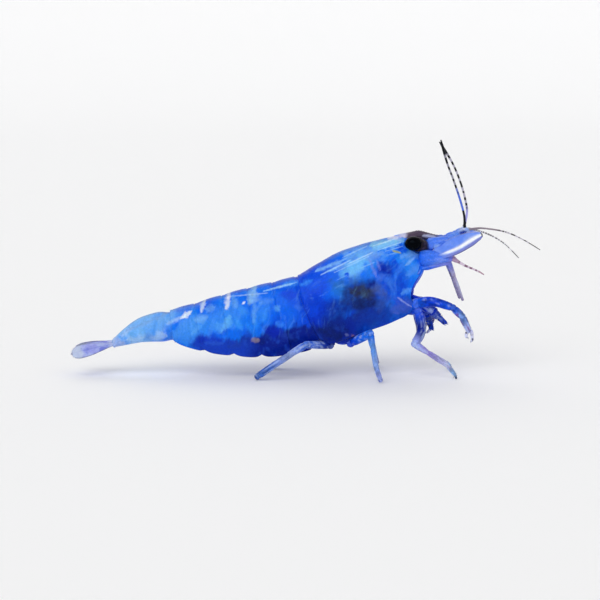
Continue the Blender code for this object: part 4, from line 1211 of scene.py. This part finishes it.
def leaf(root, tip, outer, inner, roll, arch, thickness, along, across):
    """A grid for a leaf from root to tip. outer and inner are its half widths at shares of its length.

    Also gives its normal, its thickness, and shares along it (t) and across it (c, from -1 to 1).
    """
    root, tip = np.asarray(root, float), np.asarray(tip, float)
    way = unit(tip - root)
    level = unit(np.cross([0, 0, 1], way))
    angle = math.radians(roll)
    wide = level * math.cos(angle) + np.cross(way, level) * math.sin(angle)
    normal = np.cross(way, wide)
    t = crowded(along, 0.7)[:, None]
    c = np.sin(np.linspace(-math.pi / 2, math.pi / 2, across))
    width = c * np.where(c >= 0, through(outer, t), through(inner, t))
    bow = arch * np.sin(math.pi * t) - 0.35 * arch * c**2
    grid = (root + (tip - root) * t)[:, None] + width[..., None] * wide + bow[..., None] * normal
    thinner = np.sqrt(np.maximum(1 - c**2, 0.02)) * np.sqrt(np.maximum(np.minimum(1, 4 * (1 - t)), 0.03))
    return grid, normal, thickness * thinner, *np.broadcast_arrays(t, c)


def add_leaf(shape, grid, normal, thick, colours):
    """A closed leaf: the grid lifted and lowered by half its thickness."""
    half = thick[..., None] * normal * 0.5
    add_sheet(shape, grid + half, grid - half, colours, colours)


def add_fringe(shape, grid, way, lean, lengths, width, colour, columns=(0, -1)):
    """Hairs along the long edges of a leaf's grid, turned outward from the way of the leaf by lean."""
    for column in columns:
        edge = grid[:, column]
        out = unit(edge - grid[:, grid.shape[1] // 2])
        add_bristles(shape, edge, out * lean + way, lengths, width, colour)


def build_antenna(word, hairs):
    """The second feeler: its base, the broad scale with a stout outer ridge, and the whip."""
    side = SIDES[word]
    base = sided([(8.34, 0.88, 8.84), (9.16, 1.02, 8.86), (10.30, 1.10, 8.84), (11.02, 1.12, 8.76)], side)
    sizes = through([(0, 0.62), (0.33, 0.57), (0.7, 0.36), (1, 0.13)], crowded(40, 0.7))
    listed = [(26, 98, 236), (58, 116, 238), (88, 128, 238), (140, 132, 224)]
    shape = Shape()
    add_tube(shape, smooth_path(base, 40, 0.7), sizes * rounded(40, 0.06, 0.06),
             leg_tint(listed, base, 171, 0.10), 30, 0.9)
    shape.piece(f"antenna_{word}_base", LIMB, "feeler_base_blue", [f"antenna_base_{word}"])

    root, tip = sided([(9.30, 1.16, 8.98), (12.98, 1.34, 10.64)], side)
    outer = [(0, 0.30), (0.12, 0.46), (0.42, 0.66), (0.76, 0.54), (0.93, 0.34), (0.985, 0.20), (1, 0.06)]
    inner = [(0, 0.30), (0.12, 0.50), (0.45, 0.66), (0.75, 0.58), (0.92, 0.34), (0.985, 0.18), (1, 0.05)]
    if side < 0:
        outer, inner = inner, outer
    grid, normal, thick, t, c = leaf(root, tip, outer, inner, -side * 62, 0.0, 0.24, 90, 61)
    low = c * side                      # 1 at the lower, outer edge and -1 at the upper, inner edge
    from_crest = low - 0.44 + 0.22 * ease(t, 0.5, 1.0)
    spread = np.where(from_crest > 0, 0.17 + 0.12 * ease(t, 0.6, 1.0), 0.20 + 0.34 * ease(t, 0.45, 1.0))
    ridge = np.exp(-(from_crest / spread)**2)
    colours = layers(
        mottled(grid.reshape(-1, 3), (96, 136, 238), (126, 160, 240), 0.6, 181, -0.2, 0.6, 0.6),
        # the white along the outer ridge is a painted highlight, and the blade darkening below it towards the
        # lower edge is painted shade
        ((246, 248, 254), ridge * ease(t, 0.12, 0.35) * 1.25),
        ((122, 126, 196), ease(from_crest, 0.12, 0.36) * ease(t, 0.1, 0.4) * 0.9),
        ((64, 62, 96), ease(low, 0.88, 0.99) * ease(t, 0.25, 0.5) * 0.85),
        ((176, 150, 184), ease(-low, 0.90, 0.99) * ease(t, 0.6, 0.8) * 0.6),
        ((30, 26, 40), ease(t, 0.965, 0.99)),
    )
    blade = Shape()
    add_leaf(blade, grid, normal, thick * (0.55 + 1.0 * ridge), colours)
    blade.piece(f"antennal_scale_{word}_blade", BLADE, "scale_lavender", [f"antennal_scale_{word}"])
    upper_edge = -1 if side < 0 else 0
    add_fringe(hairs, grid[12:-3], unit(tip - root), 0.8, 0.16, 0.007, (190, 196, 230), [upper_edge])
    build_whip("antenna", word, f"antenna_{word}_whip_rings", "whip_pink", f"antenna_whip_{word}")


# ---------------------------------------------------------------- tail fan and swimmerets

def tail_tint(flat, t, c, seed):
    """Lavender with fine ribs, a darker midrib and rim, and a pale band before the tip."""
    ribs = ease(np.abs(np.sin(c * 15)), 0.85, 1.0)
    pale = ease(t + 0.05 * noise(flat, 0.3, seed).reshape(t.shape), 0.70, 0.82)
    edge = ease(np.maximum(np.abs(c), ease(t, 0.88, 1.0)), 0.86, 1.0)
    return layers(
        mottled(flat, (150, 156, 226), (176, 190, 232), 0.5, seed, -0.3, 0.5, 0.7),
        ((96, 108, 208), ease(-cloud(flat, 0.5, seed + 1, 3), 0.0, 0.6) * 0.7),
        ((188, 200, 232), (1 - ease(t, 0.05, 0.22)) * 0.8),
        ((206, 214, 242), ribs * ease(t, 0.2, 0.5) * 0.25),
        ((194, 206, 224), pale * 0.75),
        ((96, 112, 190), np.exp(-(c / 0.07)**2) * (1 - ease(t, 0.7, 0.9)) * 0.45),
        ((104, 104, 122), edge * 0.7),
    )


def build_tail_fan(hairs):
    """The telson in the middle and two pairs of blades beside it, each with a fringe."""
    # root, tip, greatest half width, roll in degrees, arch, seed
    blades = {"telson": ((-14.10, 0, 2.48), (-16.80, 0, 2.10), 0.36, 0, 0.05, 201)}
    for word, side in SIDES.items():
        tip_height = 1.76 if word == "right" else 1.64
        blades[f"uropod_inner_{word}"] = (
            (-14.16, side * 0.36, 2.42), (-17.08, side * 0.74, 1.98), 0.42, side * 26, 0.05, 211)
        blades[f"uropod_outer_{word}"] = (
            (-14.10, side * 0.60, 2.38), (-17.18, side * 1.26, tip_height), 0.52, side * 56, 0.06, 221)
    hair_colour = (176, 180, 214)
    for name, (root, tip, half, roll, arch, seed) in blades.items():
        if name == "telson":
            widths = [(0, 0.34), (0.2, 0.36), (0.6, 0.30), (0.9, 0.2), (1, 0.08)]
        else:
            widths = [(0, 0.12), (0.1, 0.16), (0.3, 0.6 * half), (0.55, 0.92 * half), (0.8, half),
                      (0.92, 0.80 * half), (0.98, 0.42 * half), (1, 0.05)]
        grid, normal, thick, t, c = leaf(root, tip, widths, widths, roll, arch, 0.20, 80, 45)
        ridges = 1 + 0.25 * np.exp(-(c / 0.10)**2) - 0.10 * np.exp(-((np.abs(c) - 0.5) / 0.08)**2)
        shape = Shape()
        add_leaf(shape, grid, normal, thick * ridges, tail_tint(grid.reshape(-1, 3), t, c, seed))
        shape.piece(f"{name}_blade", BLADE, "tail_lavender", [name])
        way = unit(np.subtract(tip, root))
        lengths = 0.04 + 0.05 * ease(t[34:-1, 0], 0.35, 0.9)
        add_fringe(hairs, grid[34:-1], way, 0.5, lengths, 0.007, hair_colour)
        add_bristles(hairs, grid[-2], unit(grid[-2] - grid[-14]) + way, 0.09, 0.007, hair_colour)


def build_swimmerets(hairs):
    """Five pairs of paddles folded back under the abdomen, each a short base and two leaf blades."""
    for number in (1, 2, 3, 4, 5):
        rear, front = SOMITES[number]
        root_row, tip_row = (rows_at(ABDOMEN, rear + share * (front - rear)) for share in (0.80, -0.10))
        room = tip_row[4] * LIP - 0.30
        for word, side in SIDES.items():
            shape = Shape()
            top = on_section(root_row, 0.34, side * 0.62 * room)
            low = on_section(root_row, 0.20, side * 0.60 * room)
            path = smooth_path([top, (top + low) / 2 + np.array([0.08, 0, 0]), low], 24, 0.6)
            paint = leg_tint([DEEP, (26, 74, 206)], [top, low], 230 + number, 0.3)
            add_tube(shape, path, 0.24 * rounded(24, 0.12, 0.12), paint, 20, 1.4)
            for across, drop, half in ((0.78, 0.05, 0.24), (0.36, 0.12, 0.20)):
                tip = on_section(tip_row, drop, side * across * room)
                root = low + np.array([0, side * (across - 0.6) * room, 0.08])
                widths = [(0, 0.07), (0.25, half), (0.6, half * 0.9), (0.9, half * 0.5), (1, 0.04)]
                grid, normal, thick, t, _ = leaf(root, tip, widths, widths, side * 20, 0.08, 0.13, 36, 19)
                add_leaf(shape, grid, normal, thick, blend((40, 92, 220), SKY, ease(t, 0.4, 1.0) * 0.5))
                add_fringe(hairs, grid[8:-1], unit(tip - root), 0.6, 0.15, 0.006, (150, 170, 226))
            node = f"swimmeret_{number}_{word}"
            shape.piece(f"{node}_blades", FLESH, "deep_blue", [node])


# ---------------------------------------------------------------- the skin under the plates

# Soft parts on each side of the head and thorax: centre, and half axes ahead, across and up.
SOFT_PARTS = (
    ((8.00, 0.55, 8.00), (0.55, 0, 0.35), 0.42, (-0.35, 0, 0.60)),
    ((7.76, 0.45, 7.10), (0.42, 0, 0.25), 0.40, (-0.2, 0, 0.55)),
    ((7.75, 0.45, 6.30), (0.45, 0, 0.1), 0.42, (0, 0, 0.55)),
    ((3.00, 0.95, 2.86), (0.80, 0, 0.05), 0.45, (0, 0, 0.48)),
)
KNIT = 0.10         # size of the cells from which the skin is knitted, in millimetres


def build_flesh():
    """One skin for everything soft: trunk, head, mouth, leg bases and the muscles of the abdomen."""
    shape = Shape()
    # the trunk inside the carapace, and the abdomen inside its plates
    angle = turns(48)
    for rows, first, last, wide, top, low in (
        (CARAPACE, -0.6, 5.75, 0.80, 0.93, 0.13), (ABDOMEN, 0.02, 9.9, 0.82, 0.93, 0.20),
    ):
        row = rows_at(rows, np.linspace(first, last, 90))
        middle = (top + low) / 2
        up = middle + (top - low) / 2 * np.cos(angle)
        across = wide * row[:, 4:] * np.sin(angle) * (1 - 0.1 * np.cos(angle))
        add_rings(shape, on_section(row[:, None], up, across), on_section(row[[0, -1]], middle, 0.0), DEEP)
    # swellings across the belly of each somite
    for number, (rear, front) in SOMITES.items():
        if number < 6:
            row = rows_at(ABDOMEN, (rear + front) / 2)
            ways = [(0.34, 0, 0), (0, row[4] * 0.74, 0), (0, 0, 0.30)]
            add_ellipsoid(shape, on_section(row, 0.26, 0.0), ways, DEEP)
    # head, upper lip, chewing parts, and the chest between the leg bases
    add_ellipsoid(shape, [8.35, 0, 9.15], [(1.35, 0, -0.1), (0, 0.80, 0), (0.1, 0, 0.85)], DEEP, 20, 28)
    add_ellipsoid(shape, [9.35, 0, 9.20], [(0.75, 0, 0.1), (0, 0.50, 0), (0, 0, 0.45)], DEEP)
    add_ellipsoid(shape, [8.62, 0, 8.40], [(0.40, 0, 0.3), (0, 0.34, 0), (-0.25, 0, 0.40)], DEEP)
    add_ellipsoid(shape, [7.00, 0, 5.12], [(1.00, 0, 0.34), (0, 0.36, 0), (-0.1, 0, 0.28)], DEEP)
    for side in SIDES.values():
        for centre, ahead, across, up in SOFT_PARTS:
            add_ellipsoid(shape, sided([centre], side)[0], [ahead, (0, across, 0), up], DEEP)
        for (_, word), (joints, radii) in LEGS.items():
            if SIDES[word] == side:
                root, knee = sided(joints[:2], side)
                way = knee - root
                inside = root - way * 0.35 + [0, -side * 0.2, 0.3]
                path = smooth_path([inside, root, root + way * 0.3], 16, 0.5)
                sizes = np.linspace(0.50, radii[0] * 1.18, 16) * rounded(16, 0.1, 0.1)
                add_tube(shape, path, sizes, DEEP, 18)
    skin = add_object("flesh", shape.mesh("flesh", np.concatenate(shape.points)))
    knit = skin.modifiers.new("knit", "REMESH")
    knit.mode = "VOXEL"
    knit.voxel_size = KNIT
    even = skin.modifiers.new("even", "SMOOTH")
    even.factor = 0.5
    even.iterations = 6
    bpy.context.view_layer.update()
    knitted = bpy.data.meshes.new_from_object(skin.evaluated_get(bpy.context.evaluated_depsgraph_get()))
    bpy.data.objects.remove(skin, do_unlink=True)
    points = np.empty(len(knitted.vertices) * 3)
    knitted.vertices.foreach_get("co", points)
    points = points.reshape(-1, 3)
    x, z = points[:, 0], points[:, 2]
    colours = layers(
        mottled(points, DEEP, ROYAL, 0.6, 241, -0.2, 0.7, 1.0, 4),
        (AZURE, ease(x, 7.4, 8.4) * ease(z, 6.2, 7.6) * 0.8),
        ((70, 120, 226), ease(cloud(points, 0.3, 242, 3), 0.3, 0.9) * 0.5),
        (SKY, (1 - ease(x, -14.2, -12.5)) * 0.8),
    )
    knitted.transform(((MM, 0, 0, AHEAD * MM), (0, MM, 0, 0), (0, 0, MM, 0), (0, 0, 0, 1)))
    paint_points(knitted, colours)
    place("flesh_skin", knitted, FLESH, "deep_blue", ["thorax", "head", "mouthparts"])


# ---------------------------------------------------------------- stage

# The backdrop, in metres: the radius of its level floor, and that of the curve up round it.
FLOOR_RADIUS, CURVE_RADIUS = 0.48, 0.3
FLOOR_RINGS, CURVE_RINGS, SPOKES = 12, 16, 96
# Each light: the way it shines, its spread in degrees and its strength.
LIGHTS = {
    "key": ((0.35, 0.80, -0.75), 50, 1.30),
    "fill": ((-0.90, 0.45, -0.40), 70, 0.45),
    "back": ((0.10, -0.80, -0.75), 60, 0.70),
}
# The camera: tilt in degrees, distance and the place of its focus in millimetres, lens and sensor.
TILT, DISTANCE = 8, 123.667
FOCUS_BEHIND, FOCUS_HEIGHT = 0.24, 5.60
LENS, SENSOR = 100, 36


def build_stage():
    """A pale floor that curves up all round into a backdrop, with soft lights."""
    floor = bpy.data.materials.new("pale_floor")
    floor.use_nodes = True
    shader = floor.node_tree.nodes["Principled BSDF"]
    set_inputs(shader, {"Base Color": (0.97, 0.97, 0.975, 1), "Roughness": 0.9, "Specular IOR Level": 0.1})
    outline = [(FLOOR_RADIUS * k / FLOOR_RINGS, 0.0) for k in range(1, FLOOR_RINGS + 1)]
    for k in range(1, CURVE_RINGS + 1):
        angle = math.radians(90 * k / CURVE_RINGS)
        outline.append((FLOOR_RADIUS + CURVE_RADIUS * math.sin(angle), CURVE_RADIUS * (1 - math.cos(angle))))
    bm = bmesh.new()
    spokes = [(math.cos(angle), math.sin(angle)) for angle in turns(SPOKES)]
    rings = [[bm.verts.new((radius * x, radius * y, height)) for x, y in spokes]
             for radius, height in outline]
    centre = bm.verts.new((0, 0, 0))
    for k in range(SPOKES):
        n = (k + 1) % SPOKES
        bm.faces.new((centre, rings[0][k], rings[0][n]))
        for here, there in zip(rings, rings[1:]):
            bm.faces.new((here[k], there[k], there[n], here[n]))
    mesh = bpy.data.meshes.new("backdrop")
    bm.to_mesh(mesh)
    bm.free()
    mesh.materials.append(floor)
    mesh.shade_smooth()
    backdrop = add_object("backdrop", mesh)

    world = bpy.data.worlds.new("studio")
    world.use_nodes = True
    set_inputs(world.node_tree.nodes["Background"], {"Color": (1.0, 1.0, 1.0, 1), "Strength": 0.42})
    bpy.context.scene.world = world
    for name, (toward, spread, power) in LIGHTS.items():
        light = bpy.data.lights.new(name, "SUN")
        light.angle = math.radians(spread)
        light.energy = power
        add_object(name, light).rotation_euler = Vector(toward).to_track_quat("-Z", "Y").to_euler()


def build_camera():
    """A long lens, level with the animal's right side and looking down a little."""
    low, high = (Vector(corner) for corner in CAD_BOX)
    focus = Vector(((low.x + high.x) / 2 - FOCUS_BEHIND * MM, 0, low.z + FOCUS_HEIGHT * MM))
    tilt = math.radians(TILT)
    ahead = Vector((0, math.cos(tilt), -math.sin(tilt)))
    lens = bpy.data.cameras.new("camera")
    lens.lens = LENS
    lens.sensor_width = SENSOR
    lens.clip_start = 0.005
    lens.clip_end = 10
    camera = add_object("camera", lens)
    camera.location = focus - ahead * (DISTANCE * MM)
    camera.rotation_euler = ahead.to_track_quat("-Z", "Y").to_euler()
    bpy.context.scene.camera = camera
    bpy.context.scene.view_settings.view_transform = "Standard"


def build_animal():
    build_carapace()
    for number in (1, 2, 3, 4, 5):
        build_tergite(number)
    build_sixth_somite()
    build_rostrum()
    build_flesh()
    legs = {key: build_leg(*key) for key in LEGS}
    build_leg_bristles(legs)
    hairs = Shape()
    for word in SIDES:
        build_eye(word)
        build_antennule(word)
        build_antenna(word, hairs)
        build_maxilliped(word)
    build_mouth(hairs)
    build_tail_fan(hairs)
    build_swimmerets(hairs)
    hairs.piece("fringe_bristles", HAIR, "tail_lavender", coat=True)


build_stage()
build_camera()
build_animal()
